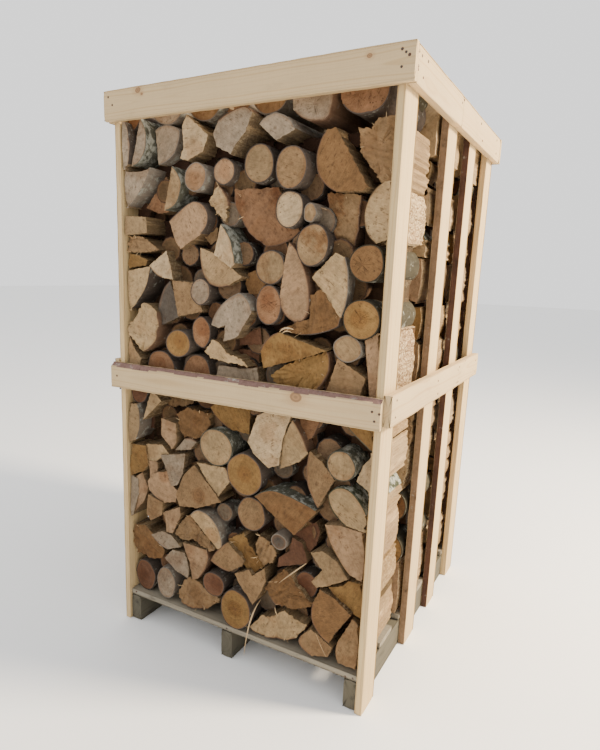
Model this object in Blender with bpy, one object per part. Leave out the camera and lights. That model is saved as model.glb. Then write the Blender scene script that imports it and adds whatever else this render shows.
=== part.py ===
"""A slatted pallet crate packed with three rows of sawn and split firewood.

Metres, +Z up. The open front looks along -Y, the origin is on the ground under the middle of the crate.
"""

import math

import bpy
import bmesh

# Driving dimensions of the crate
WIDTH = 0.98  # over the two slatted side walls
DEPTH = 1.12  # from the front edges of the walls to their rear edges
HEIGHT = 1.88
BOARD = 0.024  # thickness of a wall board or a rail
JOINT_GAP = 0.0005  # between boards nailed face to face
RAIL_HEIGHT = 0.092
BEARER_WIDTH = 0.045
BEARER_HEIGHT = 0.100
BASE_SETBACK = 0.010  # from the walls' edges to the base's
DECK_THICKNESS = 0.022
DECK_BOARDS = 6
DECK_BOARD_WIDTH = 0.120
FRONT_MID_RAIL_Z = 0.913
SIDE_MID_RAIL_Z = 0.921
TOP_RAIL_LAP = 0.020  # the front and rear top rails reach past the wall boards by this much on the left
MID_RAIL_JOINT_Y = (0.150, 0.330)  # lower and upper end of the slanted joint in the right middle rail
TOP_RAIL_JOINT_Y = -0.085  # upright joint in the right top rail

# Each wall board, as its front and rear edge in shares of the depth
WALL_BOARDS = {
    "corner_board_front": (0.0, 0.095),
    "slat_front": (0.372, 0.476),
    "slat_rear": (0.631, 0.729),
    "corner_board_rear": (0.905, 1.0),
}

# The rows of firewood
LOG_LENGTH = 0.330
ROW_GAP = 0.020
CORE_DEPTH = 0.090  # how far the closed heart of a row lies behind the walls' edges
CORE_SIDE = 0.430  # half the width of that heart
CORE_TOP = 1.656
LOG_CLEARANCE = 0.003  # between the logs and the walls
TAPER = 0.97  # the inner end of a log beside its sawn face
ROUND_SIDES = 8  # faces round an unsplit log
DEEP_SET = 3.0  # the rear row leaves out the faces that are set this far back, in centimetres
TOP_COURSE_Z = 1.682  # the highest point of the middle and rear rows, under their loose top logs

# The top of the front row's heart in centimetres, right and up: it follows the undersides of the loose
# top logs, which rest on it.
FRONT_HEART_TOP = (
    (-43, 164.9), (-39, 166.9), (-37.2, 167.5), (-35.1, 165.8), (-30.5, 167.3), (-27, 170.7),
    (-25.2, 169.5), (-24.1, 166.7), (-21.3, 165.9), (-15.4, 168.1), (-12.5, 170.5), (-9.1, 168.9),
    (-3.7, 166.3), (-2.3, 168.4), (1.6, 171.9), (3.9, 175), (6, 173.5), (11.8, 168.9), (17.8, 171.2),
    (18, 174.8), (20.7, 173.7), (26, 173.7), (28.4, 175.2), (30.6, 176.6), (33.2, 174.7), (37.5, 174.4),
    (43, 175.2),
)

HALF_WIDTH = WIDTH / 2
HALF_DEPTH = DEPTH / 2
INNER_X = HALF_WIDTH - BOARD
DECK_TOP = BEARER_HEIGHT + DECK_THICKNESS
REST_GAP = 0.0005

# Outlines of the sawn faces are given in centimetres, right and up, on the upright plane at READ_Y
# seen from EYE. A face that lies nearer or farther keeps its line of sight.
EYE = (1.000, -2.048, 1.332)
READ_Y = -0.52

# A face is (setback, shape): setback is in centimetres behind the walls' front edges. A shape is
# (x, z, half width, half height) for a round, or a clockwise list of corners (x, z) or (x, z, bulge)
# for a split, where bulge is how far the bark bows out on the way to the next corner.
TOP_FACES = (
    (0.2, ((-51, 180), (-48.3, 180, 1.6), (-47.9, 166.5), (-51, 165))),
    (1.0, ((-41.5, 180.5, 4.5), (-46, 165.8))),
    (5.0, ((-35.2, 176.4, 1.6), (-25, 175.4, 2.6), (-34.2, 165.8))),
    (5.0, ((-36.5, 182.3, 1.2), (-23.4, 182.3, 4.9))),
    (2.5, ((-22.3, 179.8), (-14.3, 173.2), (-16.5, 168.6), (-22.5, 166.4), (-25.2, 167.2), (-23.7, 170.5),
           (-24.2, 176.5))),
    (5.0, ((-21.3, 181.6, 1.5), (-9.5, 182, 4.6))),
    (1.0, ((-10.3, 177.3, 0.6), (-1.5, 180, 0.5), (1.8, 178), (-0.5, 173), (-4.5, 169.4), (-5.8, 167.2),
           (-11.2, 169.8), (-12.7, 173.6))),
    (1.0, ((4.2, 174.6, 0.6), (9.3, 177.4, 1.2), (16.0, 172.2), (10, 169.8))),
    (5.0, ((1.6, 182, 1.2), (13.4, 182, 5.0))),
    (3.0, ((14.8, 183, 0.8), (27, 183, 0.6), (26.6, 176.2, 1.0), (23.3, 174.0, 1.2), (15.0, 177.6))),
    (4.0, ((28.4, 183.5, 1.2), (42.5, 183.5, 0.8), (42.4, 177.2, 0.8), (37.5, 174.6, 1.4), (29.9, 177.8))),
)

UPPER_FACES = (
    (1.0, ((-50.5, 164.6), (-46.5, 164.1), (-41, 164), (-38, 165.2, 2.0), (-50.5, 152.6))),
    (5.5, ((-39.2, 152.5), (-31, 162), (-28.5, 159), (-30, 151), (-34, 150.6))),
    (1.0, ((-28.3, 165.0, 5.2), (-32, 151.6))),
    (1.0, (-19.2, 161.4, 4.0, 4.4)),
    (2.0, (-8.1, 162.4, 3.9, 4.0)),
    (2.0, (4.4, 163.9, 5.1, 5.5)),
    (0.5, (15.1, 162.3, 5.1, 6.0)),
    (2.0, ((28.3, 172.0), (38.9, 156), (37.5, 155), (29.5, 155.2, 4.8), (25.8, 171.6))),
    (3.0, ((35, 171.2), (38.8, 170.4), (40.2, 173.2), (45.8, 173.4), (46.4, 157.2), (42.5, 156.9),
           (36, 164.8))),
    (2.0, ((-10.3, 158.4, 1.0), (-7, 152), (-7.8, 147.5), (-14.2, 154))),
    (1.0, ((-29.8, 148.2, 0.6), (-20, 154.2, 1.2), (-14, 150, 1.0), (-17, 143.8), (-25, 139.3),
           (-27, 141.8))),
    (0.3, ((-50.5, 150.2), (-39.6, 149.6), (-39.2, 144.4), (-50.5, 143.8))),
    (1.5, ((-50.5, 143.4), (-41, 143.2), (-34, 139), (-40, 138.2), (-50.5, 138))),
    (2.0, ((-50.5, 137.6), (-44, 137.3), (-39, 135.5), (-40, 133.8), (-50.5, 132.6))),
    (5.0, ((-14.8, 146.3), (-10.2, 146), (-10.5, 142.3), (-13, 140.8), (-15.5, 143.5))),
    (0.3, ((-9, 147.2, 1.4), (-3.6, 134.8), (-5, 133.7), (-11.8, 137.8))),
    (3.0, ((-4.4, 156.9), (10.5, 157.2), (18.3, 144.8, 1.2), (7.5, 140.5, 3.0))),
    (0.5, (15, 150.9, 4.5, 5.2)),
    (1.0, (21.8, 149.8, 2.0, 2.7)),
    (5.0, ((26.8, 155), (36.8, 154, 0.6), (35.2, 139.4), (32.2, 139.2, 1.2))),
    (3.0, ((43.6, 157.4), (46.4, 157.4), (46.4, 142.5), (42, 141.2, 4.8))),
    (1.0, (22.9, 140.9, 5.3, 6.0)),
    (2.0, (9.2, 134.3, 5.2, 5.0)),
    (1.5, ((15.3, 141.8, 0.6), (19.5, 136.3, 0.7), (22.8, 126, 0.6), (21.8, 120.5, 0.9),
           (17.5, 118.9, 1.6), (12.8, 126), (14.2, 137))),
    (0.5, (40.3, 136.1, 5.6, 5.1)),
    (1.5, ((30, 138.8), (33, 137.6, 1.8), (33, 120.8), (26.5, 128.3), (23, 131.9))),
    (1.0, ((22.8, 126.8), (26.3, 128.6), (32.9, 121, 0.8), (30, 117.3, 0.6), (19.5, 115),
           (12.5, 115.8), (17.5, 118), (22.6, 119.8))),
    (6.0, ((1.5, 132.5), (5, 133.6), (8, 129.5), (6, 126.3), (2, 126), (0.5, 129))),
    (1.0, ((-50.5, 131.6), (-38, 133.4, 2.6), (-50.5, 118))),
    (1.0, ((-31, 138.8), (-29.6, 134.5), (-28.4, 129.4), (-33, 130, 0.7), (-38.4, 133.8))),
    (1.5, ((-16.8, 139.8), (-12.5, 138.6), (-0.8, 131.2), (-6, 128.3, 0.6), (-13.5, 128.6, 1.4))),
    (1.0, (-16.9, 126, 4.0, 4.2)),
    (7.0, ((-14.5, 124.8), (-10, 123), (-12.5, 121), (-16, 121.5))),
    (2.5, ((-29.5, 128.9), (-27.8, 125.5), (-25.5, 117.5), (-35, 113.2), (-34.8, 120, 1.0))),
    (1.5, ((-28.6, 129.2), (-19.5, 128.6), (-16, 119.6), (-26, 117.6))),
    (0.5, ((-50.5, 113.2), (-46.3, 115.3), (-42.3, 121), (-39.5, 120.8), (-35.8, 118.2, 0.8),
           (-36.5, 108.5, 0.8), (-42.5, 104), (-50.5, 110))),
    (1.0, ((-50.5, 109.6), (-47, 105.6), (-42.5, 101.5), (-44, 98), (-50.5, 97.5))),
    (3.0, (-33.8, 98.6, 6.4, 6.7)),
    (1.0, (-26.2, 108.3, 5.2, 4.7)),
    (1.5, (-16.4, 112.9, 3.6, 5.2)),
    (3.0, (-18.2, 98.8, 5.6, 6.4)),
    (0.5, ((-12.3, 115.6, 1.8), (-2, 126.4, 1.2), (2.8, 120.5), (-2.3, 112.3), (-7.5, 110.6),
           (-6.8, 115.9), (-9.2, 114.8))),
    (0.3, ((-14.8, 106.8), (-11.8, 111), (-9.5, 110), (-6.6, 107), (-1.5, 105.6), (1.6, 103.2),
           (-5, 103.9), (-12.5, 104.8))),
    (6.0, ((-4, 112), (6.5, 116), (7, 111), (-3, 109.8))),
    (7.0, ((-2.5, 108.8), (6, 109), (6, 104.5), (0, 104.8))),
    (4.0, ((-10.8, 96.5), (-9, 102.8), (0, 102.6), (5.5, 103.4), (6.5, 96.5))),
    (1.0, ((6.5, 109, 1.2), (13, 115.1), (19, 113.5), (28.8, 111), (20, 107.6), (13.5, 105.6),
           (7.5, 103.5))),
    (1.5, ((10.3, 101.3), (14, 104.5), (19.5, 107.3), (28.8, 110.6, 1.0), (28.5, 102.5, 0.6),
           (23.5, 97.5), (13.5, 97.5))),
    (1.5, (8.9, 123.1, 4.4, 6.0)),
    (0.5, (39.4, 120.7, 5.9, 5.6)),
    (1.5, (35.5, 112.2, 4.5, 3.9)),
    (2.0, ((32.8, 109.1), (41.6, 104.4), (39.5, 97), (28.5, 97), (30.8, 102.8))),
    (2.5, ((40.8, 115.2), (46.8, 117.5), (46.8, 97), (43.5, 97))),
)

LOWER_FACES = (
    (2.0, (-45, 90.2, 5.2, 5.2)),
    (0.5, ((-38, 91), (-33.8, 87.2), (-42.3, 79.2), (-40.2, 85.6))),
    (0.5, ((-50.5, 84.3), (-45.5, 84.6, 1.8), (-46.5, 70.8), (-50.5, 69.6))),
    (0.5, ((-34.3, 81), (-27.3, 80), (-26.8, 73.3), (-29, 70.4), (-34.2, 74.8))),
    (1.0, ((-27.8, 70.3), (-23, 75.5, 0.6), (-18, 75), (-21, 71.8))),
    (6.0, ((-34.5, 92.5), (-20, 92.5), (-19.5, 88.5), (-24.5, 86.6), (-27.5, 86.5), (-29.5, 85),
           (-31, 88))),
    (1.0, ((-27.6, 83.6), (-23, 86.4), (-12.8, 85.6), (-13.6, 79.5), (-17.5, 76.5), (-24, 75.6),
           (-26.8, 80))),
    (3.0, ((-12.4, 88.2), (-6, 92.5), (3.2, 92.5), (2.6, 81), (-4.5, 81.6, 1.0))),
    (0.5, (-10.1, 74.6, 6.8, 6.4)),
    (0.5, (1.5, 67.3, 7.0, 7.3)),
    (0.5, ((2.7, 78.8), (5.8, 88), (11, 90.9), (17.8, 89.6), (15.4, 82), (14.4, 73.2), (10.8, 71.6),
           (5, 75.4))),
    (1.5, ((18.8, 88.6, 0.6), (24.5, 79), (21.5, 75.6), (15.2, 72.3), (15.9, 82))),
    (4.0, ((21, 92), (28.5, 92, 0.6), (25.5, 84), (22.5, 81.8))),
    (2.0, ((34.5, 92.5), (47, 92.5), (46.6, 83.3, 1.2))),
    (0.5, (35.7, 77.1, 4.7, 4.8)),
    (1.0, ((25.2, 79.8), (29.5, 77.3), (34, 72.4), (28.8, 62.2, 2.6))),
    (3.0, ((46.8, 83), (46.8, 70), (41, 73.5), (42.8, 79))),
    (1.0, ((32, 67.3, 1.4), (38.5, 70.2, 0.8), (46.3, 63.2), (46, 58.2), (38.5, 58.9, 1.4))),
    (0.0, ((5.6, 60.9, 0.9), (14, 64.2, 0.7), (28.3, 60.6), (20.8, 50.8))),
    (1.5, (4.7, 54.2, 5.3, 5.9)),
    (1.5, ((-17.8, 67.8), (-6, 68.2, 0.6), (-4.4, 63.5), (-9.6, 56.2))),
    (0.5, ((-19.4, 66.4), (-8.2, 55.2), (-18, 50.8), (-25.5, 50), (-27.2, 53.6), (-23.6, 62.3))),
    (2.0, ((-41.4, 70.2), (-33.5, 71.3), (-30, 68.2), (-34, 66.5), (-36.5, 64.5), (-41.2, 64.2))),
    (1.0, ((-34.6, 67.2), (-23.5, 69.8), (-24.2, 62.5), (-26.5, 57.5), (-29.5, 56.5), (-31.2, 61.5))),
    (1.5, ((-39.8, 64.2), (-36, 64.4), (-35.8, 59.3), (-39.3, 57))),
    (1.0, ((-40.5, 56), (-38, 59.8), (-31.6, 61.6), (-29.2, 56.8), (-26.8, 55.5), (-27.4, 51),
           (-33, 49.4, 0.6), (-39.8, 52.8))),
    (1.0, ((-50.5, 69), (-41.8, 69.3), (-40.3, 62.5), (-43, 59.3), (-50.5, 56.7))),
    (0.5, ((-50.5, 56.5), (-45.6, 56), (-45.4, 50), (-48.0, 41), (-50.5, 40.3))),
    (1.0, ((-46.2, 56.8), (-43.3, 58.8), (-40.4, 53.8), (-42, 48.5), (-48.8, 40.6), (-47, 49))),
    (0.5, ((-40.5, 51), (-33.5, 49.5), (-33.8, 44.5), (-39.8, 40.5), (-41.8, 43))),
    (1.0, ((-33.6, 45.5), (-25.5, 49.5), (-25.2, 46), (-28.8, 38.5), (-32, 38), (-32.2, 41.5))),
    (1.5, ((-48.8, 36.8), (-43, 37.8), (-38, 35.4), (-33.2, 30.2), (-35, 26.3), (-40, 25.2),
           (-48.8, 25.2))),
    (0.5, ((-39, 35.2), (-34, 37.9), (-29.5, 37.4), (-25.5, 33.8), (-31.5, 31.3, 0.7))),
    (1.0, ((-29, 31.9), (-23.2, 32.2), (-21.5, 27), (-22, 22.3), (-28, 23.8), (-33, 27.3))),
    (0.5, ((-24.4, 36), (-14, 35.9, 0.6), (-13.3, 30.5, 0.5), (-17.2, 24), (-19.6, 23), (-21, 29))),
    (0.5, ((-28.5, 38.4), (-25, 44.5), (-21.5, 47.3), (-18, 43.5), (-10.2, 37.2), (-12.5, 35.6),
           (-16, 36.6), (-20.5, 37.8), (-25.5, 36.4))),
    (1.0, ((-20.8, 47.6, 0.6), (-17, 50.3, 0.6), (-12, 48.8, 0.8), (-7.8, 43, 0.5), (-7.5, 38),
           (-9.2, 37.4), (-15, 42.5))),
    (1.0, ((-4.6, 41.4), (2, 36.4), (1.2, 34.2), (-4, 30.8, 0.6), (-11.4, 32.8, 0.8))),
    (2.0, ((-4.8, 42.4), (1.5, 46.5), (4.5, 42.5), (9.8, 36.4), (5, 32), (-1.2, 39))),
    (1.5, ((6.2, 43.5), (8, 47.5), (12, 46), (14.5, 43), (13, 39), (9.5, 36.5), (7, 39))),
    (1.0, (15.5, 47.2, 3.0, 2.7)),
    (2.0, ((20.5, 50), (24, 49), (26, 44), (25.6, 42.5), (15.3, 38.4), (16, 42), (19.5, 45))),
    (4.0, ((21, 51.5), (28.5, 57.5), (30, 55), (29, 50), (26, 46), (24.5, 49.5))),
    (0.5, ((27.3, 46.8), (31.3, 48.4), (36.5, 46), (40, 41.4), (33.5, 37), (29.5, 35.4), (27.8, 36.8),
           (31.3, 41.8))),
    (1.0, ((31.5, 57.5), (37, 58.3), (46.5, 57.8), (46.5, 41.8), (41, 43, 1.6))),
    (3.0, (26, 35.2, 4.1, 4.4)),
    (0.5, ((9.9, 28.8), (17.3, 37.6), (20.5, 36), (22, 33.5), (29, 28.5), (24, 25.8), (16.5, 24, 0.6),
           (12, 26.3))),
    (0.5, ((4.2, 33.8), (5.3, 31.8), (10.2, 36), (10.8, 31.5), (8.3, 25), (6.2, 21.6), (1, 27),
           (-1.6, 30.6))),
    (2.0, ((34, 37), (38.5, 38.8), (40.5, 41), (46.5, 41.2), (46.5, 29.4), (41, 30.8, 0.8))),
    (0.5, ((31, 35), (36, 33.6), (41.8, 29.8), (37, 22), (35, 17.7, 0.6), (29.2, 22.5, 0.8), (28.9, 30))),
    (1.0, ((42.5, 28.6, 0.6), (46.5, 26), (46.5, 12), (38.5, 12, 0.8), (37.8, 19))),
    (0.5, ((28.5, 20.3), (32.5, 18.5), (36.3, 16.5), (35, 12.7), (29, 10.4, 0.8), (24.2, 13.5, 0.5),
           (25, 16.5))),
    (1.0, ((5, 12.3), (9.5, 18), (12.5, 18.5), (18.5, 23.2), (21.5, 21.5), (26.8, 20.6),
           (22.5, 14.2, 0.8), (12, 10.8, 0.8))),
    (0.0, (-1, 17, 6.2, 7.4)),
    (0.5, (-10.5, 23.7, 4.5, 4.6)),
    (1.0, ((-26.3, 15.5), (-24.5, 20), (-21, 23.4), (-15, 21), (-8, 18.6), (-9, 16.5),
           (-15.5, 11.6, 0.8), (-25.5, 11.4))),
    (1.5, (-32.2, 17.6, 4.2, 6.2)),
    (3.0, (-42.7, 17.8, 5.2, 6.2)),
)

# The loose top logs of the two rows behind, in true centimetres across and up
MIDDLE_TOP = (
    ((-45, 182, 1.5), (-33.5, 181, 0.8), (-34.5, 170.5), (-45.8, 168.5)),
    (-28.6, 173.2, 4.6, 4.9),
    ((-22.8, 179), (-12.4, 184, 1.8), (-10.6, 174.5), (-21.5, 168.8)),
    (-5.6, 174.6, 4.5, 5.6),
    ((1.6, 168.4, 1.6), (3.5, 181.5, 2.0), (9.6, 172)),
    ((10.5, 181.8, 2.2), (20.8, 178), (19.6, 168.6), (13.2, 170.6)),
    (26.4, 174.4, 5.4, 5.1),
    ((34, 168.6, 2.0), (35.6, 185.8, 0.8), (45.6, 186.2), (45.8, 170)),
)
REAR_TOP = (
    (-40.6, 174.6, 5.2, 5.6),
    ((-34.2, 169.2), (-33.4, 181.5, 2.4), (-23.8, 178.4), (-24.6, 170.2)),
    ((-22.4, 183, 1.4), (-12.2, 180.6), (-13.5, 169.4), (-20.8, 172.5)),
    (-6.8, 172.8, 4.4, 4.7),
    ((-0.9, 168.6, 1.2), (0.4, 182.5, 1.8), (10.8, 176.5), (9.4, 169.2)),
    (16.4, 174.2, 4.9, 4.6),
    ((22.6, 169), (21.6, 180, 2.2), (32.5, 182), (31.4, 169.8)),
    ((33.8, 185.6, 1.2), (45.6, 184.8), (45.8, 168.8), (36.2, 169.6)),
)


def clear_scene():
    for obj in list(bpy.data.objects):
        bpy.data.objects.remove(obj)


def wood(name, colour, roughness=0.8):
    material = bpy.data.materials.new(name)
    material.use_nodes = True
    shader = material.node_tree.nodes["Principled BSDF"]
    shader.inputs["Base Color"].default_value = (*colour, 1)
    shader.inputs["Roughness"].default_value = roughness
    shader.inputs["Metallic"].default_value = 0
    return material


def add_object(name, mesh, material):
    obj = bpy.data.objects.new(name, mesh)
    obj.data.materials.append(material)
    bpy.context.scene.collection.objects.link(obj)
    return obj


def extruded(name, outline, axis, start, end, material, end_scale=1.0):
    """A prism: the outline, in the two axes left when `axis` is taken out, carried from start to end."""
    middle = [sum(values) / len(outline) for values in zip(*outline)]
    mesh = bpy.data.meshes.new(name)
    shape = bmesh.new()
    rings = []
    for place, scale in ((start, 1.0), (end, end_scale)):
        ring = []
        for point in outline:
            position = [m + (value - m) * scale for value, m in zip(point, middle)]
            position.insert(axis, place)
            ring.append(shape.verts.new(position))
        rings.append(ring)
    shape.faces.new(rings[0])
    shape.faces.new(rings[1][::-1])
    for i in range(len(outline)):
        j = (i + 1) % len(outline)
        shape.faces.new((rings[0][j], rings[0][i], rings[1][i], rings[1][j]))
    bmesh.ops.recalc_face_normals(shape, faces=shape.faces)
    shape.to_mesh(mesh)
    shape.free()
    return add_object(name, mesh, material)


def box(name, x, y, z, material):
    corners = ((x[0], z[0]), (x[0], z[1]), (x[1], z[1]), (x[1], z[0]))
    return extruded(name, corners, 1, y[0], y[1], material)


def build_base(timber):
    """Three bearers from front to rear and the deck boards across them."""
    front = -HALF_DEPTH + BASE_SETBACK
    rear = HALF_DEPTH - BASE_SETBACK
    edge = INNER_X - JOINT_GAP
    lefts = {"left": -edge, "middle": -BEARER_WIDTH, "right": edge - BEARER_WIDTH}
    for side, left in lefts.items():
        box(f"bearer_{side}", (left, left + BEARER_WIDTH), (front, rear), (0, BEARER_HEIGHT), timber)
    pitch = (rear - front - DECK_BOARD_WIDTH) / (DECK_BOARDS - 1)
    for i in range(DECK_BOARDS):
        start = front + i * pitch
        z = (BEARER_HEIGHT + JOINT_GAP, DECK_TOP)
        box(f"deck_board_{i + 1}", (-edge, edge), (start, start + DECK_BOARD_WIDTH), z, timber)


def build_wall(side, sign, timber):
    """Four upright boards, broad face outwards."""
    x = sorted((sign * INNER_X, sign * HALF_WIDTH))
    for name, shares in WALL_BOARDS.items():
        y = [-HALF_DEPTH + share * DEPTH for share in shares]
        box(f"{side}_{name}", x, y, (0, HEIGHT - JOINT_GAP), timber)


def build_side_rails(side, sign, timber):
    """The top and the middle rail outside one wall. Those of the right wall are pieced from two boards."""
    x = sorted((sign * (HALF_WIDTH + JOINT_GAP), sign * (HALF_WIDTH + JOINT_GAP + BOARD)))
    top = (HEIGHT - RAIL_HEIGHT, HEIGHT)
    middle = (SIDE_MID_RAIL_Z, SIDE_MID_RAIL_Z + RAIL_HEIGHT)
    if sign < 0:
        box(f"{side}_top_rail", x, (-HALF_DEPTH, HALF_DEPTH), top, timber)
        box(f"{side}_middle_rail", x, (-HALF_DEPTH, HALF_DEPTH), middle, timber)
        return
    box(f"{side}_top_rail_front", x, (-HALF_DEPTH, TOP_RAIL_JOINT_Y), top, timber)
    box(f"{side}_top_rail_rear", x, (TOP_RAIL_JOINT_Y + 0.001, HALF_DEPTH), top, timber)
    low, high = MID_RAIL_JOINT_Y
    near = ((-HALF_DEPTH, middle[0]), (-HALF_DEPTH, middle[1]), (high, middle[1]), (low, middle[0]))
    extruded(f"{side}_middle_rail_front", near, 0, x[0], x[1], timber)
    gap = 0.0015
    far = ((low + gap, middle[0]), (high + gap, middle[1]), (HALF_DEPTH, middle[1]), (HALF_DEPTH, middle[0]))
    extruded(f"{side}_middle_rail_rear", far, 0, x[0], x[1], timber)


def waney_edge(left, right, bottom, top):
    """A board's outline whose upper edge wanders where the bark was left on."""
    points = [(left, bottom), (left, top - 0.004)]
    steps = 12
    for i in range(1, steps):
        x = left + (right - left) * i / steps
        points.append((x, top - 0.005 + 0.004 * math.sin(9 * x + 0.6) + 0.002 * math.sin(31 * x)))
    return points + [(right, top), (right, bottom)]


def build_cross_rails(face, sign, timber):
    """The top and the middle rail across the open front or rear."""
    y = sorted((sign * (HALF_DEPTH + JOINT_GAP), sign * (HALF_DEPTH + JOINT_GAP + BOARD)))
    left = -HALF_WIDTH - TOP_RAIL_LAP
    right = HALF_WIDTH + JOINT_GAP + BOARD
    box(f"{face}_top_rail", (left, right), y, (HEIGHT - RAIL_HEIGHT, HEIGHT), timber)
    top = FRONT_MID_RAIL_Z + RAIL_HEIGHT - 0.003
    if sign < 0:
        outline = waney_edge(left, HALF_WIDTH, FRONT_MID_RAIL_Z, top)
        extruded(f"{face}_middle_rail", outline, 1, y[0], y[1], timber)
    else:
        box(f"{face}_middle_rail", (left, HALF_WIDTH), y, (FRONT_MID_RAIL_Z, top), timber)


def arc(start, end, bulge):
    """Points from start towards end, short of it, on an arc that bows out to the left of the way."""
    dx, dz = end[0] - start[0], end[1] - start[1]
    chord = math.hypot(dx, dz)
    if bulge < 0.5:
        return [start[:2]]
    steps = 2 if bulge < 1.5 and chord < 9 else 3 if bulge < 3 else 4
    radius = (chord**2 / 4 + bulge**2) / (2 * bulge)
    half = math.asin(min(1.0, chord / 2 / radius))
    if bulge > chord / 2:
        half = math.pi - half
    points = []
    for i in range(steps):
        turn = -half + 2 * half * i / steps
        along = 0.5 + radius * math.sin(turn) / chord
        out = radius * (math.cos(turn) - math.cos(half)) / chord
        points.append((start[0] + dx * along - dz * out, start[1] + dz * along + dx * out))
    return points


def face_points(shape):
    """The corners of a sawn face in centimetres, clockwise."""
    if isinstance(shape[0], (int, float)):
        x, z, across, up = shape
        turns = [2 * math.pi * (i + 0.5) / ROUND_SIDES for i in range(ROUND_SIDES)]
        return [(x + across * math.sin(turn), z + up * math.cos(turn)) for turn in turns]
    points = []
    for i, corner in enumerate(shape):
        bulge = corner[2] if len(corner) > 2 else 0.0
        points += arc(corner, shape[(i + 1) % len(shape)], bulge)
    return points


def inside_crate(x, z):
    """The point, in metres, kept clear of the walls and the deck."""
    limit = INNER_X - LOG_CLEARANCE
    return max(-limit, min(limit, x)), max(DECK_TOP + REST_GAP, z)


def front_outline(setback, shape):
    """The outline of a face of the front row in metres, at its own depth."""
    face_y = -HALF_DEPTH + setback / 100
    reach = (face_y - EYE[1]) / (READ_Y - EYE[1])
    points = []
    for x, z in face_points(shape):
        across = EYE[0] + (x / 100 - EYE[0]) * reach
        up = EYE[2] + (z / 100 - EYE[2]) * reach
        points.append(inside_crate(across, up))
    return face_y, points


def tidy(outline):
    """The outline without points that fall on their neighbour."""
    kept = []
    for point in outline:
        if not kept or math.dist(point, kept[-1]) > 0.002:
            kept.append(point)
    return kept if math.dist(kept[0], kept[-1]) > 0.002 else kept[:-1]


def swapped(setback, shape, turn, z_from, z_to):
    """A face of the front row put in another place for a row behind: turned left to right, and moved up
    or down a tier."""
    outline = front_outline(setback, shape)[1]
    scale = (z_to[1] - z_to[0]) / (z_from[1] - z_from[0])
    points = [(turn * x, z_to[0] + (z - z_from[0]) * scale) for x, z in outline]
    points = [inside_crate(x, min(z, TOP_COURSE_Z)) for x, z in points]
    return points[::-1] if turn < 0 else points


def flat_heart():
    return [(-CORE_SIDE, CORE_TOP), (CORE_SIDE, CORE_TOP)]


def fused_row(name, faces, ends, heart_top, timber):
    """One row of logs as one solid: its closed heart joined with every log that shows.

    faces holds (y of the outer sawn face, outline). ends are the y of the heart's outer and inner end,
    and heart_top is the heart's upper outline from left to right. A log at the row's sides, top or
    bottom runs on to the inner end, and any other stops in the heart.
    """
    helpers = bpy.data.collections.new(f"{name}_logs")
    bpy.context.scene.collection.children.link(helpers)
    helpers.hide_render = True
    outer, inner = ends
    for i, (face_y, outline) in enumerate(faces):
        outline = tidy(outline)
        xs = [x for x, _ in outline]
        zs = [z for _, z in outline]
        shows = max(map(abs, xs)) > CORE_SIDE or max(zs) > CORE_TOP or min(zs) < DECK_TOP + 0.02
        end = inner if shows else (outer + inner) / 2
        log = extruded(f"{name}_log_{i}", outline, 1, face_y, end, timber, TAPER)
        log.hide_render = True
        log.display_type = "WIRE"
        bpy.context.scene.collection.objects.unlink(log)
        helpers.objects.link(log)
    hold = 0.004 if inner > outer else -0.004
    bottom = DECK_TOP + 0.012
    heart = [(-CORE_SIDE, bottom)] + heart_top + [(CORE_SIDE, bottom)]
    core = extruded(name, heart, 1, outer, inner - hold, timber)
    join = core.modifiers.new("logs", "BOOLEAN")
    join.operation = "UNION"
    join.operand_type = "COLLECTION"
    join.collection = helpers
    join.solver = "EXACT"
    return core


def build_firewood():
    split = wood("split_firewood", (0.62, 0.44, 0.28))
    bark = wood("top_logs", (0.52, 0.36, 0.23))
    lower = (DECK_TOP, FRONT_MID_RAIL_Z)
    upper = (FRONT_MID_RAIL_Z + RAIL_HEIGHT - 0.02, TOP_COURSE_Z)

    faces = [front_outline(setback, shape) for setback, shape in UPPER_FACES + LOWER_FACES]
    outer_end = HALF_DEPTH - CORE_DEPTH
    inner_end = LOG_LENGTH / 2 + ROW_GAP
    heart_top = [(x / 100, z / 100) for x, z in FRONT_HEART_TOP]
    fused_row("front_row_logs", faces, (-outer_end, -inner_end), heart_top, split)

    faces = []
    for listed, z_from, z_to in ((UPPER_FACES, (upper[0], 1.74), lower), (LOWER_FACES, lower, upper)):
        for setback, shape in listed:
            if setback >= DEEP_SET:
                continue
            outline = swapped(setback, shape, -1, z_from, z_to)
            faces.append((HALF_DEPTH - 0.008 - setback / 100, outline))
    fused_row("rear_row_logs", faces, (outer_end, inner_end), flat_heart(), split)

    faces = []
    for listed, z_from, z_to in ((UPPER_FACES, (upper[0], 1.74), lower), (LOWER_FACES, lower, upper)):
        for setback, shape in listed:
            outline = swapped(setback, shape, 1, z_from, z_to)
            if max(abs(x) for x, _ in outline) > CORE_SIDE + 0.02 or max(z for _, z in outline) > CORE_TOP:
                faces.append((-LOG_LENGTH / 2 + setback / 1000, outline))
    fused_row("middle_row_logs", faces, (-LOG_LENGTH / 2 + 0.006, LOG_LENGTH / 2), flat_heart(), split)

    for i, (setback, shape) in enumerate(TOP_FACES):
        face_y, outline = front_outline(setback, shape)
        name = f"front_top_log_{i + 1}"
        extruded(name, tidy(outline), 1, face_y, face_y + LOG_LENGTH, bark, TAPER)
    for row, shapes, y in (("middle", MIDDLE_TOP, (-0.16, 0.16)), ("rear", REAR_TOP, (0.54, 0.21))):
        for i, shape in enumerate(shapes):
            outline = [inside_crate(x / 100, z / 100) for x, z in face_points(shape)]
            step = 0.008 * math.sin(2.4 * i)
            extruded(f"{row}_top_log_{i + 1}", tidy(outline), 1, y[0] + step, y[1] + step, bark, TAPER)


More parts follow.
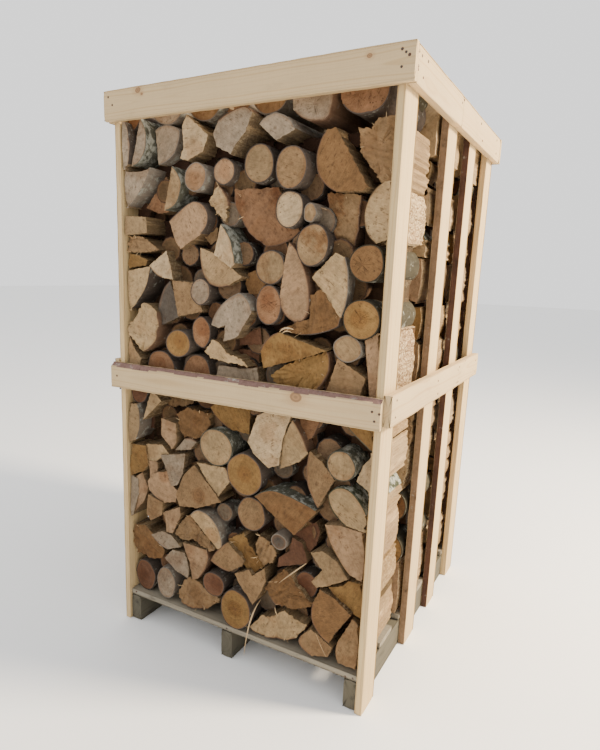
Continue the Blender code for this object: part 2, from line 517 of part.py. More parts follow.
def main():
    clear_scene()
    build_base(wood("base_timber", (0.52, 0.44, 0.33)))
    boards = wood("wall_boards", (0.78, 0.62, 0.42))
    rails = wood("rails", (0.74, 0.60, 0.42))
    for side, sign in (("left", -1), ("right", 1)):
        build_wall(side, sign, boards)
        build_side_rails(side, sign, rails)
    for face, sign in (("front", -1), ("rear", 1)):
        build_cross_rails(face, sign, rails)
    build_firewood()


main()
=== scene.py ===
import bpy
import numpy as np
from mathutils import Matrix, Vector


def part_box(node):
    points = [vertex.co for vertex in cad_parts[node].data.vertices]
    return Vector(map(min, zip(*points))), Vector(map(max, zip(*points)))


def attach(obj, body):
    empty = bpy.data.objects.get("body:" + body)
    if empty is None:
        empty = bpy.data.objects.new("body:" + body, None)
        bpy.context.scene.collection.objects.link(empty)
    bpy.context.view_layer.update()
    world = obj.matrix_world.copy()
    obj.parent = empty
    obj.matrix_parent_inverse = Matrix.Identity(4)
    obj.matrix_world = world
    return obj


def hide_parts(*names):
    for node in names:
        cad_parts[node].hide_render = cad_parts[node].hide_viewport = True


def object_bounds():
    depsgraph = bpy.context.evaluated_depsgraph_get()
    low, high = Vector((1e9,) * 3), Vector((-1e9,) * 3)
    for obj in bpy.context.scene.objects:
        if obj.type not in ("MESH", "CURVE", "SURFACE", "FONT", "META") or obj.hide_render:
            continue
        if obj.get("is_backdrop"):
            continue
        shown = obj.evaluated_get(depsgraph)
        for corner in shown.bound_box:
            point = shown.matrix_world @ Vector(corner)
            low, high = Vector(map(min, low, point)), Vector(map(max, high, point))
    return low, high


# A slatted pallet crate with three rows of firewood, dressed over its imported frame.
# Lengths are in metres unless a note says otherwise. The open front looks along -Y.

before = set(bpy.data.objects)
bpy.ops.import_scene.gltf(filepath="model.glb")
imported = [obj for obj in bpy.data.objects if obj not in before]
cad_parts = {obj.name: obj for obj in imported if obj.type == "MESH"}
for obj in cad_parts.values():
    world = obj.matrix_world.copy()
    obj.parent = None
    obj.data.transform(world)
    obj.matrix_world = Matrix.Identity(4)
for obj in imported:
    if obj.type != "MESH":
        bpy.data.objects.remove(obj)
cadLow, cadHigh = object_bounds()
print("frame loaded:", len(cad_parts), "nodes")

crate = {
    "front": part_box("right_corner_board_front")[0][1],
    "innerX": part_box("right_corner_board_front")[0][0],
    "deckTop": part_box("deck_board_1")[1][2],
    "midRailZ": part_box("front_middle_rail")[0][2],
    "railHeight": 0.092,
    "logLength": 0.330,
    "logClearance": 0.003,
    "barkRoom": 0.003,  # left at the walls for the waves of a log's surface
    "rowTop": 1.682,  # the middle and rear rows end here, under their loose top logs
    "middleFace": -0.165,  # where the sawn faces of the rows behind are
    "rearFace": 0.552,
}

# The sawn faces were read off an upright plane at readY, seen from eye. A face that lies nearer or
# farther keeps its line of sight.
eye = (1.000, -2.048, 1.332)
readY = -0.52

# A log is (setback, looks, shape). Setback is in centimetres behind the walls' front edges. Looks are its
# wood, its bark and any marks. A shape is in centimetres: (x, z, half width, half height) for a round, or
# clockwise corners (x, z) or (x, z, bulge) for a split, where bulge is how far the bark bows out on the
# way to the next corner.
# The loose top course of the front row, from left to right
topFaces = (
    (0.2, "greyish dark", ((-51, 180), (-48.3, 180, 1.6), (-47.9, 166.5), (-51, 165))),
    (1.0, "greyish lichen", ((-41.5, 180.5, 4.5), (-46, 165.8))),
    (5.0, "greyish grey", ((-35.2, 176.4, 1.6), (-25, 175.4, 2.6), (-34.2, 165.8))),
    (5.0, "greyish grey", ((-36.5, 182.3, 1.2), (-23.4, 182.3, 4.9))),
    (2.5, "pale grey", ((-22.3, 179.8), (-14.3, 173.2), (-16.5, 168.6), (-22.5, 166.4),
     (-25.2, 167.2), (-23.7, 170.5), (-24.2, 176.5))),
    (5.0, "tan grey", ((-21.3, 181.6, 1.5), (-9.5, 182, 4.6))),
    (1.0, "greyish brown", ((-10.3, 177.3, 0.6), (-1.5, 180, 0.5), (1.8, 178), (-0.5, 173),
     (-4.5, 169.4), (-5.8, 167.2), (-11.2, 169.8), (-12.7, 173.6))),
    (1.0, "greyish grey", ((4.2, 174.6, 0.6), (9.3, 177.4, 1.2), (16.0, 172.2), (10, 169.8))),
    (5.0, "tan grey", ((1.6, 182, 1.2), (13.4, 182, 5.0))),
    (3.0, "greyish brown cracked", ((14.8, 183, 0.8), (27, 183, 0.6), (26.6, 176.2, 1.0), (23.3, 174.0, 1.2),
     (15.0, 177.6))),
    (4.0, "brown dark specked cracked", ((28.4, 183.5, 1.2), (42.5, 183.5, 0.8), (42.4, 177.2, 0.8),
     (37.5, 174.6, 1.4), (29.9, 177.8))),
)

# The front row above the middle rail
upperFaces = (
    (1.0, "greyish grey", ((-50.5, 164.6), (-46.5, 164.1), (-41, 164), (-38, 165.2, 2.0),
     (-50.5, 152.6))),
    (5.5, "brown dark", ((-39.2, 152.5), (-31, 162), (-28.5, 159), (-30, 151), (-34, 150.6))),
    (1.0, "beige lichen", ((-28.3, 165.0, 5.2), (-32, 151.6))),
    (1.0, "pink grey ringed", (-19.2, 161.4, 4.0, 4.4)),
    (2.0, "pink dark ringed", (-8.1, 162.4, 3.9, 4.0)),
    (2.0, "beige dark", (4.4, 163.9, 5.1, 5.5)),
    (0.5, "tan dark", (15.1, 162.3, 5.1, 6.0)),
    (2.0, "orange brown", ((28.3, 172.0), (38.9, 156), (37.5, 155), (29.5, 155.2, 4.8), (25.8, 171.6))),
    (3.0, "tan brown torn", ((35, 171.2), (38.8, 170.4), (40.2, 173.2), (45.8, 173.4),
     (46.4, 157.2), (42.5, 156.9), (36, 164.8))),
    (2.0, "cream brown torn", ((-10.3, 158.4, 1.0), (-7, 152), (-7.8, 147.5), (-14.2, 154))),
    (1.0, "pink dark", ((-29.8, 148.2, 0.6), (-20, 154.2, 1.2), (-14, 150, 1.0), (-17, 143.8),
     (-25, 139.3), (-27, 141.8))),
    (0.3, "beige brown", ((-50.5, 150.2), (-39.6, 149.6), (-39.2, 144.4), (-50.5, 143.8))),
    (1.5, "tan brown torn", ((-50.5, 143.4), (-41, 143.2), (-34, 139), (-40, 138.2), (-50.5, 138))),
    (2.0, "yellow brown", ((-50.5, 137.6), (-44, 137.3), (-39, 135.5), (-40, 133.8), (-50.5, 132.6))),
    (5.0, "tan brown", ((-14.8, 146.3), (-10.2, 146), (-10.5, 142.3), (-13, 140.8), (-15.5, 143.5))),
    (0.3, "pale lichen", ((-9, 147.2, 1.4), (-3.6, 134.8), (-5, 133.7), (-11.8, 137.8))),
    (3.0, "brown brown torn cracked stained", ((-4.4, 156.9), (10.5, 157.2), (18.3, 144.8, 1.2),
     (7.5, 140.5, 3.0))),
    (0.5, "pale dark specked", (15, 150.9, 4.5, 5.2)),
    (1.0, "beige grey", (21.8, 149.8, 2.0, 2.7)),
    (5.0, "tan brown torn stained", ((26.8, 155), (36.8, 154, 0.6), (35.2, 139.4), (32.2, 139.2, 1.2))),
    (3.0, "cream brown specked", ((43.6, 157.4), (46.4, 157.4), (46.4, 142.5), (42, 141.2, 4.8))),
    (1.0, "beige dark stained", (22.9, 140.9, 5.3, 6.0)),
    (2.0, "beige dark", (9.2, 134.3, 5.2, 5.0)),
    (1.5, "pink brown", ((15.3, 141.8, 0.6), (19.5, 136.3, 0.7), (22.8, 126, 0.6),
     (21.8, 120.5, 0.9), (17.5, 118.9, 1.6), (12.8, 126), (14.2, 137))),
    (0.5, "orange dark specked cracked", (40.3, 136.1, 5.6, 5.1)),
    (1.5, "cream grey", ((30, 138.8), (33, 137.6, 1.8), (33, 120.8), (26.5, 128.3), (23, 131.9))),
    (1.0, "orange dark torn", ((22.8, 126.8), (26.3, 128.6), (32.9, 121, 0.8), (30, 117.3, 0.6),
     (19.5, 115), (12.5, 115.8), (17.5, 118), (22.6, 119.8))),
    (6.0, "orange dark", ((1.5, 132.5), (5, 133.6), (8, 129.5), (6, 126.3), (2, 126), (0.5, 129))),
    (1.0, "cream dark", ((-50.5, 131.6), (-38, 133.4, 2.6), (-50.5, 118))),
    (1.0, "pale brown", ((-31, 138.8), (-29.6, 134.5), (-28.4, 129.4), (-33, 130, 0.7),
     (-38.4, 133.8))),
    (1.5, "beige brown", ((-16.8, 139.8), (-12.5, 138.6), (-0.8, 131.2), (-6, 128.3, 0.6),
     (-13.5, 128.6, 1.4))),
    (1.0, "greyish dark specked", (-16.9, 126, 4.0, 4.2)),
    (7.0, "orange dark", ((-14.5, 124.8), (-10, 123), (-12.5, 121), (-16, 121.5))),
    (2.5, "purple dark", ((-29.5, 128.9), (-27.8, 125.5), (-25.5, 117.5), (-35, 113.2),
     (-34.8, 120, 1.0))),
    (1.5, "tan brown", ((-28.6, 129.2), (-19.5, 128.6), (-16, 119.6), (-26, 117.6))),
    (0.5, "cream brown torn", ((-50.5, 113.2), (-46.3, 115.3), (-42.3, 121), (-39.5, 120.8),
     (-35.8, 118.2, 0.8), (-36.5, 108.5, 0.8), (-42.5, 104), (-50.5, 110))),
    (1.0, "beige grey", ((-50.5, 109.6), (-47, 105.6), (-42.5, 101.5), (-44, 98), (-50.5, 97.5))),
    (3.0, "brown dark ringed", (-33.8, 98.6, 6.4, 6.7)),
    (1.0, "yellow dark ringed", (-26.2, 108.3, 5.2, 4.7)),
    (1.5, "brown dark ringed", (-16.4, 112.9, 3.6, 5.2)),
    (3.0, "brown dark", (-18.2, 98.8, 5.6, 6.4)),
    (0.5, "greyish grey", ((-12.3, 115.6, 1.8), (-2, 126.4, 1.2), (2.8, 120.5), (-2.3, 112.3),
     (-7.5, 110.6), (-6.8, 115.9), (-9.2, 114.8))),
    (0.3, "cream brown torn", ((-14.8, 106.8), (-11.8, 111), (-9.5, 110), (-6.6, 107),
     (-1.5, 105.6), (1.6, 103.2), (-5, 103.9), (-12.5, 104.8))),
    (6.0, "redbrown brown", ((-4, 112), (6.5, 116), (7, 111), (-3, 109.8))),
    (7.0, "redbrown brown", ((-2.5, 108.8), (6, 109), (6, 104.5), (0, 104.8))),
    (4.0, "greyish grey", ((-10.8, 96.5), (-9, 102.8), (0, 102.6), (5.5, 103.4), (6.5, 96.5))),
    (1.0, "yellow brown", ((6.5, 109, 1.2), (13, 115.1), (19, 113.5), (28.8, 111), (20, 107.6),
     (13.5, 105.6), (7.5, 103.5))),
    (1.5, "yellow brown torn", ((10.3, 101.3), (14, 104.5), (19.5, 107.3), (28.8, 110.6, 1.0),
     (28.5, 102.5, 0.6), (23.5, 97.5), (13.5, 97.5))),
    (1.5, "brown dark ringed cracked", (8.9, 123.1, 4.4, 6.0)),
    (0.5, "yellow dark ringed cracked", (39.4, 120.7, 5.9, 5.6)),
    (1.5, "beige grey", (35.5, 112.2, 4.5, 3.9)),
    (2.0, "tan brown", ((32.8, 109.1), (41.6, 104.4), (39.5, 97), (28.5, 97), (30.8, 102.8))),
    (2.5, "pink grey specked", ((40.8, 115.2), (46.8, 117.5), (46.8, 97), (43.5, 97))),
)

# The front row below the middle rail
lowerFaces = (
    (2.0, "redbrown dark ringed", (-45, 90.2, 5.2, 5.2)),
    (0.5, "cream brown", ((-38, 91), (-33.8, 87.2), (-42.3, 79.2), (-40.2, 85.6))),
    (0.5, "beige grey", ((-50.5, 84.3), (-45.5, 84.6, 1.8), (-46.5, 70.8), (-50.5, 69.6))),
    (0.5, "pink brown", ((-34.3, 81), (-27.3, 80), (-26.8, 73.3), (-29, 70.4), (-34.2, 74.8))),
    (1.0, "greyish brown", ((-27.8, 70.3), (-23, 75.5, 0.6), (-18, 75), (-21, 71.8))),
    (6.0, "tan brown torn", ((-34.5, 92.5), (-20, 92.5), (-19.5, 88.5), (-24.5, 86.6),
     (-27.5, 86.5), (-29.5, 85), (-31, 88))),
    (1.0, "orange brown torn", ((-27.6, 83.6), (-23, 86.4), (-12.8, 85.6), (-13.6, 79.5),
     (-17.5, 76.5), (-24, 75.6), (-26.8, 80))),
    (3.0, "yellow brown", ((-12.4, 88.2), (-6, 92.5), (3.2, 92.5), (2.6, 81), (-4.5, 81.6, 1.0))),
    (0.5, "cream lichen cracked", (-10.1, 74.6, 6.8, 6.4)),
    (0.5, "yellow dark ringed", (1.5, 67.3, 7.0, 7.3)),
    (0.5, "pale brown", ((2.7, 78.8), (5.8, 88), (11, 90.9), (17.8, 89.6), (15.4, 82), (14.4, 73.2),
     (10.8, 71.6), (5, 75.4))),
    (1.5, "cream brown", ((18.8, 88.6, 0.6), (24.5, 79), (21.5, 75.6), (15.2, 72.3), (15.9, 82))),
    (4.0, "brown brown", ((21, 92), (28.5, 92, 0.6), (25.5, 84), (22.5, 81.8))),
    (2.0, "yellow grey", ((34.5, 92.5), (47, 92.5), (46.6, 83.3, 1.2))),
    (0.5, "cream lichen", (35.7, 77.1, 4.7, 4.8)),
    (1.0, "tan brown", ((25.2, 79.8), (29.5, 77.3), (34, 72.4), (28.8, 62.2, 2.6))),
    (3.0, "pale brown", ((46.8, 83), (46.8, 70), (41, 73.5), (42.8, 79))),
    (1.0, "cream lichen", ((32, 67.3, 1.4), (38.5, 70.2, 0.8), (46.3, 63.2), (46, 58.2),
     (38.5, 58.9, 1.4))),
    (0.0, "orange lichen", ((5.6, 60.9, 0.9), (14, 64.2, 0.7), (28.3, 60.6), (20.8, 50.8))),
    (1.5, "tan dark", (4.7, 54.2, 5.3, 5.9)),
    (1.5, "cream brown", ((-17.8, 67.8), (-6, 68.2, 0.6), (-4.4, 63.5), (-9.6, 56.2))),
    (0.5, "tan brown ringed", ((-19.4, 66.4), (-8.2, 55.2), (-18, 50.8), (-25.5, 50),
     (-27.2, 53.6), (-23.6, 62.3))),
    (2.0, "cream brown", ((-41.4, 70.2), (-33.5, 71.3), (-30, 68.2), (-34, 66.5), (-36.5, 64.5),
     (-41.2, 64.2))),
    (1.0, "greyish grey", ((-34.6, 67.2), (-23.5, 69.8), (-24.2, 62.5), (-26.5, 57.5), (-29.5, 56.5),
     (-31.2, 61.5))),
    (1.5, "pink brown", ((-39.8, 64.2), (-36, 64.4), (-35.8, 59.3), (-39.3, 57))),
    (1.0, "pink dark ringed cracked", ((-40.5, 56), (-38, 59.8), (-31.6, 61.6), (-29.2, 56.8),
     (-26.8, 55.5), (-27.4, 51), (-33, 49.4, 0.6), (-39.8, 52.8))),
    (1.0, "yellow brown", ((-50.5, 69), (-41.8, 69.3), (-40.3, 62.5), (-43, 59.3), (-50.5, 56.7))),
    (0.5, "greyish brown", ((-50.5, 56.5), (-45.6, 56), (-45.4, 50), (-48.0, 41), (-50.5, 40.3))),
    (1.0, "pink brown", ((-46.2, 56.8), (-43.3, 58.8), (-40.4, 53.8), (-42, 48.5), (-48.8, 40.6),
     (-47, 49))),
    (0.5, "tan brown", ((-40.5, 51), (-33.5, 49.5), (-33.8, 44.5), (-39.8, 40.5), (-41.8, 43))),
    (1.0, "pink brown", ((-33.6, 45.5), (-25.5, 49.5), (-25.2, 46), (-28.8, 38.5), (-32, 38),
     (-32.2, 41.5))),
    (1.5, "orange brown torn", ((-48.8, 36.8), (-43, 37.8), (-38, 35.4), (-33.2, 30.2), (-35, 26.3),
     (-40, 25.2), (-48.8, 25.2))),
    (0.5, "greyish grey", ((-39, 35.2), (-34, 37.9), (-29.5, 37.4), (-25.5, 33.8), (-31.5, 31.3, 0.7))),
    (1.0, "greyish grey", ((-29, 31.9), (-23.2, 32.2), (-21.5, 27), (-22, 22.3), (-28, 23.8),
     (-33, 27.3))),
    (0.5, "pink brown", ((-24.4, 36), (-14, 35.9, 0.6), (-13.3, 30.5, 0.5), (-17.2, 24),
     (-19.6, 23), (-21, 29))),
    (0.5, "tan brown torn", ((-28.5, 38.4), (-25, 44.5), (-21.5, 47.3), (-18, 43.5),
     (-10.2, 37.2), (-12.5, 35.6), (-16, 36.6), (-20.5, 37.8), (-25.5, 36.4))),
    (1.0, "cream grey ringed", ((-20.8, 47.6, 0.6), (-17, 50.3, 0.6), (-12, 48.8, 0.8),
     (-7.8, 43, 0.5), (-7.5, 38), (-9.2, 37.4), (-15, 42.5))),
    (1.0, "tan brown", ((-4.6, 41.4), (2, 36.4), (1.2, 34.2), (-4, 30.8, 0.6), (-11.4, 32.8, 0.8))),
    (2.0, "yellow brown torn", ((-4.8, 42.4), (1.5, 46.5), (4.5, 42.5), (9.8, 36.4), (5, 32),
     (-1.2, 39))),
    (1.5, "tan grey torn", ((6.2, 43.5), (8, 47.5), (12, 46), (14.5, 43), (13, 39), (9.5, 36.5),
     (7, 39))),
    (1.0, "purple grey", (15.5, 47.2, 3.0, 2.7)),
    (2.0, "redbrown brown", ((20.5, 50), (24, 49), (26, 44), (25.6, 42.5), (15.3, 38.4), (16, 42),
     (19.5, 45))),
    (4.0, "redbrown brown", ((21, 51.5), (28.5, 57.5), (30, 55), (29, 50), (26, 46), (24.5, 49.5))),
    (0.5, "beige brown", ((27.3, 46.8), (31.3, 48.4), (36.5, 46), (40, 41.4), (33.5, 37),
     (29.5, 35.4), (27.8, 36.8), (31.3, 41.8))),
    (1.0, "pink brown", ((31.5, 57.5), (37, 58.3), (46.5, 57.8), (46.5, 41.8), (41, 43, 1.6))),
    (3.0, "redbrown dark ringed", (26, 35.2, 4.1, 4.4)),
    (0.5, "orange brown torn cracked", ((9.9, 28.8), (17.3, 37.6), (20.5, 36), (22, 33.5), (29, 28.5),
     (24, 25.8), (16.5, 24, 0.6), (12, 26.3))),
    (0.5, "tan brown", ((4.2, 33.8), (5.3, 31.8), (10.2, 36), (10.8, 31.5), (8.3, 25), (6.2, 21.6),
     (1, 27), (-1.6, 30.6))),
    (2.0, "yellow brown", ((34, 37), (38.5, 38.8), (40.5, 41), (46.5, 41.2), (46.5, 29.4),
     (41, 30.8, 0.8))),
    (0.5, "orange brown", ((31, 35), (36, 33.6), (41.8, 29.8), (37, 22), (35, 17.7, 0.6),
     (29.2, 22.5, 0.8), (28.9, 30))),
    (1.0, "tan brown", ((42.5, 28.6, 0.6), (46.5, 26), (46.5, 12), (38.5, 12, 0.8), (37.8, 19))),
    (0.5, "tan brown", ((28.5, 20.3), (32.5, 18.5), (36.3, 16.5), (35, 12.7), (29, 10.4, 0.8),
     (24.2, 13.5, 0.5), (25, 16.5))),
    (1.0, "cream brown torn", ((5, 12.3), (9.5, 18), (12.5, 18.5), (18.5, 23.2), (21.5, 21.5),
     (26.8, 20.6), (22.5, 14.2, 0.8), (12, 10.8, 0.8))),
    (0.0, "yellow dark ringed cracked", (-1, 17, 6.2, 7.4)),
    (0.5, "redbrown dark ringed", (-10.5, 23.7, 4.5, 4.6)),
    (1.0, "tan brown torn", ((-26.3, 15.5), (-24.5, 20), (-21, 23.4), (-15, 21), (-8, 18.6),
     (-9, 16.5), (-15.5, 11.6, 0.8), (-25.5, 11.4))),
    (1.5, "greyish grey", (-32.2, 17.6, 4.2, 6.2)),
    (3.0, "redbrown dark ringed", (-42.7, 17.8, 5.2, 6.2)),
)

# The loose top logs of the two rows behind, in true centimetres across and up
middleTop = (
    ((-45, 182, 1.5), (-33.5, 181, 0.8), (-34.5, 170.5), (-45.8, 168.5)),
    (-28.6, 173.2, 4.6, 4.9),
    ((-22.8, 179), (-12.4, 184, 1.8), (-10.6, 174.5), (-21.5, 168.8)),
    (-5.6, 174.6, 4.5, 5.6),
    ((1.6, 168.4, 1.6), (3.5, 181.5, 2.0), (9.6, 172)),
    ((10.5, 181.8, 2.2), (20.8, 178), (19.6, 168.6), (13.2, 170.6)),
    (26.4, 174.4, 5.4, 5.1),
    ((34, 168.6, 2.0), (35.6, 185.8, 0.8), (45.6, 186.2), (45.8, 170)),
)

rearTop = (
    (-40.6, 174.6, 5.2, 5.6),
    ((-34.2, 169.2), (-33.4, 181.5, 2.4), (-23.8, 178.4), (-24.6, 170.2)),
    ((-22.4, 183, 1.4), (-12.2, 180.6), (-13.5, 169.4), (-20.8, 172.5)),
    (-6.8, 172.8, 4.4, 4.7),
    ((-0.9, 168.6, 1.2), (0.4, 182.5, 1.8), (10.8, 176.5), (9.4, 169.2)),
    (16.4, 174.2, 4.9, 4.6),
    ((22.6, 169), (21.6, 180, 2.2), (32.5, 182), (31.4, 169.8)),
    ((33.8, 185.6, 1.2), (45.6, 184.8), (45.8, 168.8), (36.2, 169.6)),
)

# Colours as a screen shows them, 0 to 255
woods = {
    "pale": (174, 150, 116),
    "cream": (158, 133, 98),
    "beige": (138, 114, 83),
    "greyish": (137, 121, 101),
    "pink": (145, 117, 88),
    "tan": (128, 102, 72),
    "yellow": (124, 95, 56),
    "orange": (113, 84, 54),
    "brown": (122, 90, 64),
    "redbrown": (92, 64, 47),
    "purple": (84, 76, 67),
}
barks = {
    "grey": ((122, 112, 100), 0.45),  # colour, and how much lichen grows on it
    "lichen": ((86, 85, 73), 0.70),
    "dark": ((84, 74, 66), 0.25),
    "brown": ((106, 82, 64), 0.15),
}


def linear(colour):
    # A screen colour, 0 to 255, as linear light: a straight foot and then a power curve
    c = np.asarray(colour, float) / 255
    return np.where(c <= 0.04045, c / 12.92, ((c + 0.055) / 1.055) ** 2.4)


class Value:
    # A socket that shader maths is written with
    def __init__(self, paint, socket):
        self.paint, self.socket = paint, socket

    def __add__(self, other):
        return self.paint.maths("ADD", self, other)

    def __radd__(self, other):
        return self.paint.maths("ADD", other, self)

    def __sub__(self, other):
        return self.paint.maths("SUBTRACT", self, other)

    def __rsub__(self, other):
        return self.paint.maths("SUBTRACT", other, self)

    def __mul__(self, other):
        return self.paint.maths("MULTIPLY", self, other)

    def __rmul__(self, other):
        return self.paint.maths("MULTIPLY", other, self)

    def __truediv__(self, other):
        return self.paint.maths("DIVIDE", self, other)


class Paint:
    # One material, with its Principled shader and the short ways to add nodes to it
    def __init__(self, name, roughness=0.85, specular=0.25):
        self.material = bpy.data.materials.new(name)
        self.material.use_nodes = True
        self.tree = self.material.node_tree
        self.shader = self.tree.nodes["Principled BSDF"]
        self.shader.inputs["Roughness"].default_value = roughness
        self.shader.inputs["Specular IOR Level"].default_value = specular

    def node(self, kind, settings=None, sockets=None, give=0):
        made = self.tree.nodes.new(kind)
        for key, value in (settings or {}).items():
            setattr(made, key, value)
        for key, value in (sockets or {}).items():
            self.feed(made.inputs[key], value)
        return Value(self, made.outputs[give])

    def feed(self, socket, value):
        if isinstance(value, Value):
            self.tree.links.new(value.socket, socket)
        else:
            socket.default_value = value

    def maths(self, operation, a, b=0.0):
        return self.node("ShaderNodeMath", {"operation": operation}, {0: a, 1: b})

    def vector(self, operation, a, b=(0, 0, 0), give=0):
        return self.node("ShaderNodeVectorMath", {"operation": operation}, {0: a, 1: b}, give)

    def scaled(self, vector, scale):
        return self.node("ShaderNodeVectorMath", {"operation": "SCALE"}, {0: vector, "Scale": scale})

    def attribute(self, name, give="Fac"):
        return self.node("ShaderNodeAttribute", {"attribute_name": name}, give=give)

    def step(self, value, low, high):
        # Smooth rise from 0 to 1 between low and high, or fall where low is above high
        rising = low <= high
        sockets = {"Value": value, "From Min": min(low, high), "From Max": max(low, high),
                   "To Min": 0.0 if rising else 1.0, "To Max": 1.0 if rising else 0.0}
        return self.node("ShaderNodeMapRange", {"interpolation_type": "SMOOTHSTEP"}, sockets)

    def noise(self, place, scale, detail=2.0, rough=0.5, seed=0.0):
        sockets = {"Vector": place, "W": seed, "Scale": scale, "Detail": detail, "Roughness": rough}
        return self.node("ShaderNodeTexNoise", {"noise_dimensions": "4D"}, sockets)

    def drawn(self, place, stretch, detail, rough, seed):
        # Noise on a place that is squeezed or drawn out along each axis
        return self.noise(self.vector("MULTIPLY", place, stretch), 1.0, detail, rough, seed)

    def lines(self, position, detail):
        # Noise along one number, as growth rings follow their radius
        sockets = {"W": position, "Scale": 1.0, "Detail": detail}
        return self.node("ShaderNodeTexNoise", {"noise_dimensions": "1D"}, sockets)

    def mix(self, factor, a, b, blend="MIX"):
        sockets = {0: factor, 6: self.full(a), 7: self.full(b)}
        return self.node("ShaderNodeMix", {"data_type": "RGBA", "blend_type": blend}, sockets, 2)

    def full(self, colour):
        return colour if isinstance(colour, Value) else (*linear(colour), 1.0)

    def tint(self, colour, by):
        return self.mix(1.0, colour, by, "MULTIPLY")

    def shade(self, colour, value):
        # The colour times a number that varies
        return self.tint(colour, self.node("ShaderNodeCombineColor", {}, {0: value, 1: value, 2: value}))

    def split(self, vector):
        made = self.node("ShaderNodeSeparateXYZ", {}, {0: vector}).socket.node
        return [Value(self, output) for output in made.outputs]

    def join(self, x, y, z):
        return self.node("ShaderNodeCombineXYZ", {}, {0: x, 1: y, 2: z})

    def finish(self, colour, height=None, depth=0.001, strength=0.6):
        self.feed(self.shader.inputs["Base Color"], colour)
        if height is not None:
            sockets = {"Strength": strength, "Distance": depth, "Height": height}
            self.feed(self.shader.inputs["Normal"], self.node("ShaderNodeBump", {}, sockets))
        return self.material


def sawnPaint():
    # The sawn end of a log. "place" is the way from the pith, in metres: rings follow its length, cracks
    # its direction. "rim" is the distance from the bark.
    paint = Paint("sawn_end", roughness=0.88, specular=0.15)
    place, seed = paint.attribute("place", "Vector"), paint.attribute("seed")
    tone, rim = paint.attribute("tone", "Color"), paint.attribute("rim")
    heart, stain, speckle = paint.split(paint.attribute("marks", "Vector"))
    x, _, z = paint.split(place)
    flat = paint.join(x, 0.0, z)
    wobble = paint.noise(place, 22.0, 2.0, 0.5, seed)
    radius = paint.vector("LENGTH", flat, give=1) + (wobble - 0.5) * 0.012
    blotch = paint.noise(place, 17.0, 4.0, 0.6, seed + 3.0)
    mottle = paint.noise(place, 85.0, 4.0, 0.65, seed + 4.0)
    ringed = paint.lines(radius * 300.0 + seed * 9.0, 2.0)
    turned = paint.node("ShaderNodeVectorRotate", {"rotation_type": "AXIS_ANGLE"},
                        {"Vector": flat, "Axis": (0, 1, 0), "Angle": seed * 2.7})
    sawMarks = paint.drawn(turned, (34.0, 1.0, 300.0), 3.0, 0.65, seed)
    fine = paint.noise(place, 420.0, 2.0, 0.6, seed)
    light = blotch * 1.10 + mottle * 1.25 + ringed * (0.14 + heart * 0.75) + sawMarks * 0.60
    light = light + fine * 0.30 - 0.68
    colour = paint.shade(tone, light)
    # the heart is a darker, redder ring with a dark pith
    reach = radius + (blotch - 0.5) * 0.03
    ring = paint.step(reach, 0.036, 0.018) * (0.5 + mottle) * heart
    colour = paint.mix(ring, colour, paint.tint(colour, (206, 168, 134)))
    pithDot = paint.step(radius, 0.006, 0.002) * (0.25 + heart * 0.5)
    colour = paint.mix(pithDot, colour, (74, 46, 30))
    # stains that spread from one side
    spread = paint.step(paint.noise(place, 11.0, 5.0, 0.62, seed + 7.0), 0.48, 0.62) * stain
    colour = paint.mix(spread * 0.7, colour, paint.tint(colour, (190, 154, 124)))
    # cracks that run out from the pith, narrow noise bands on the direction alone
    way = paint.vector("NORMALIZE", flat)
    bent = paint.vector("ADD", paint.scaled(way, 1.5), paint.scaled(place, 9.0))
    around = paint.noise(bent, 1.0, 1.0, 0.4, seed + 11.0)
    line = paint.step(paint.maths("ABSOLUTE", around - 0.5), 0.011, 0.003)
    length = paint.step(radius, 0.002, 0.006) * paint.step(radius + mottle * 0.03, 0.052, 0.022)
    crack = line * (length * paint.attribute("cracks"))
    colour = paint.mix(crack * 0.7, colour, (50, 33, 22))
    # dark checks along the grain, and specks of dirt
    check = paint.step(sawMarks * 0.7 + mottle * 0.8, 0.66, 0.56) * paint.step(blotch, 0.44, 0.56)
    colour = paint.mix(check * 0.6, colour, (84, 60, 42))
    specks = paint.node("ShaderNodeTexVoronoi", {}, {"Vector": place, "Scale": 95.0, "Randomness": 1.0})
    chosen = paint.step(paint.noise(place, 60.0, 1.0, 0.5, seed), 0.50, 0.56)
    dirt = paint.step(specks, 0.24, 0.12) * chosen * (0.25 + speckle * 0.6)
    colour = paint.mix(dirt, colour, (62, 42, 30))
    # bark round the edge, with a darker band under it that is partly the wood's own rim and partly painted
    # shade
    edge = paint.step(rim + (fine - 0.5) * 0.0016, 0.0040, 0.0022)
    colour = paint.mix(paint.step(rim, 0.014, 0.003) * 0.35, colour, (110, 76, 50))
    colour = paint.mix(edge, colour, paint.shade(paint.attribute("barkTone", "Color"), 0.45 + fine * 0.5))
    height = sawMarks * 0.8 + fine * 0.35 + ringed * 0.2 - crack * 1.8
    height = height + blotch * 0.6 + mottle * 0.7 - check * 0.4
    return paint.finish(colour, height, depth=0.0022, strength=0.9)


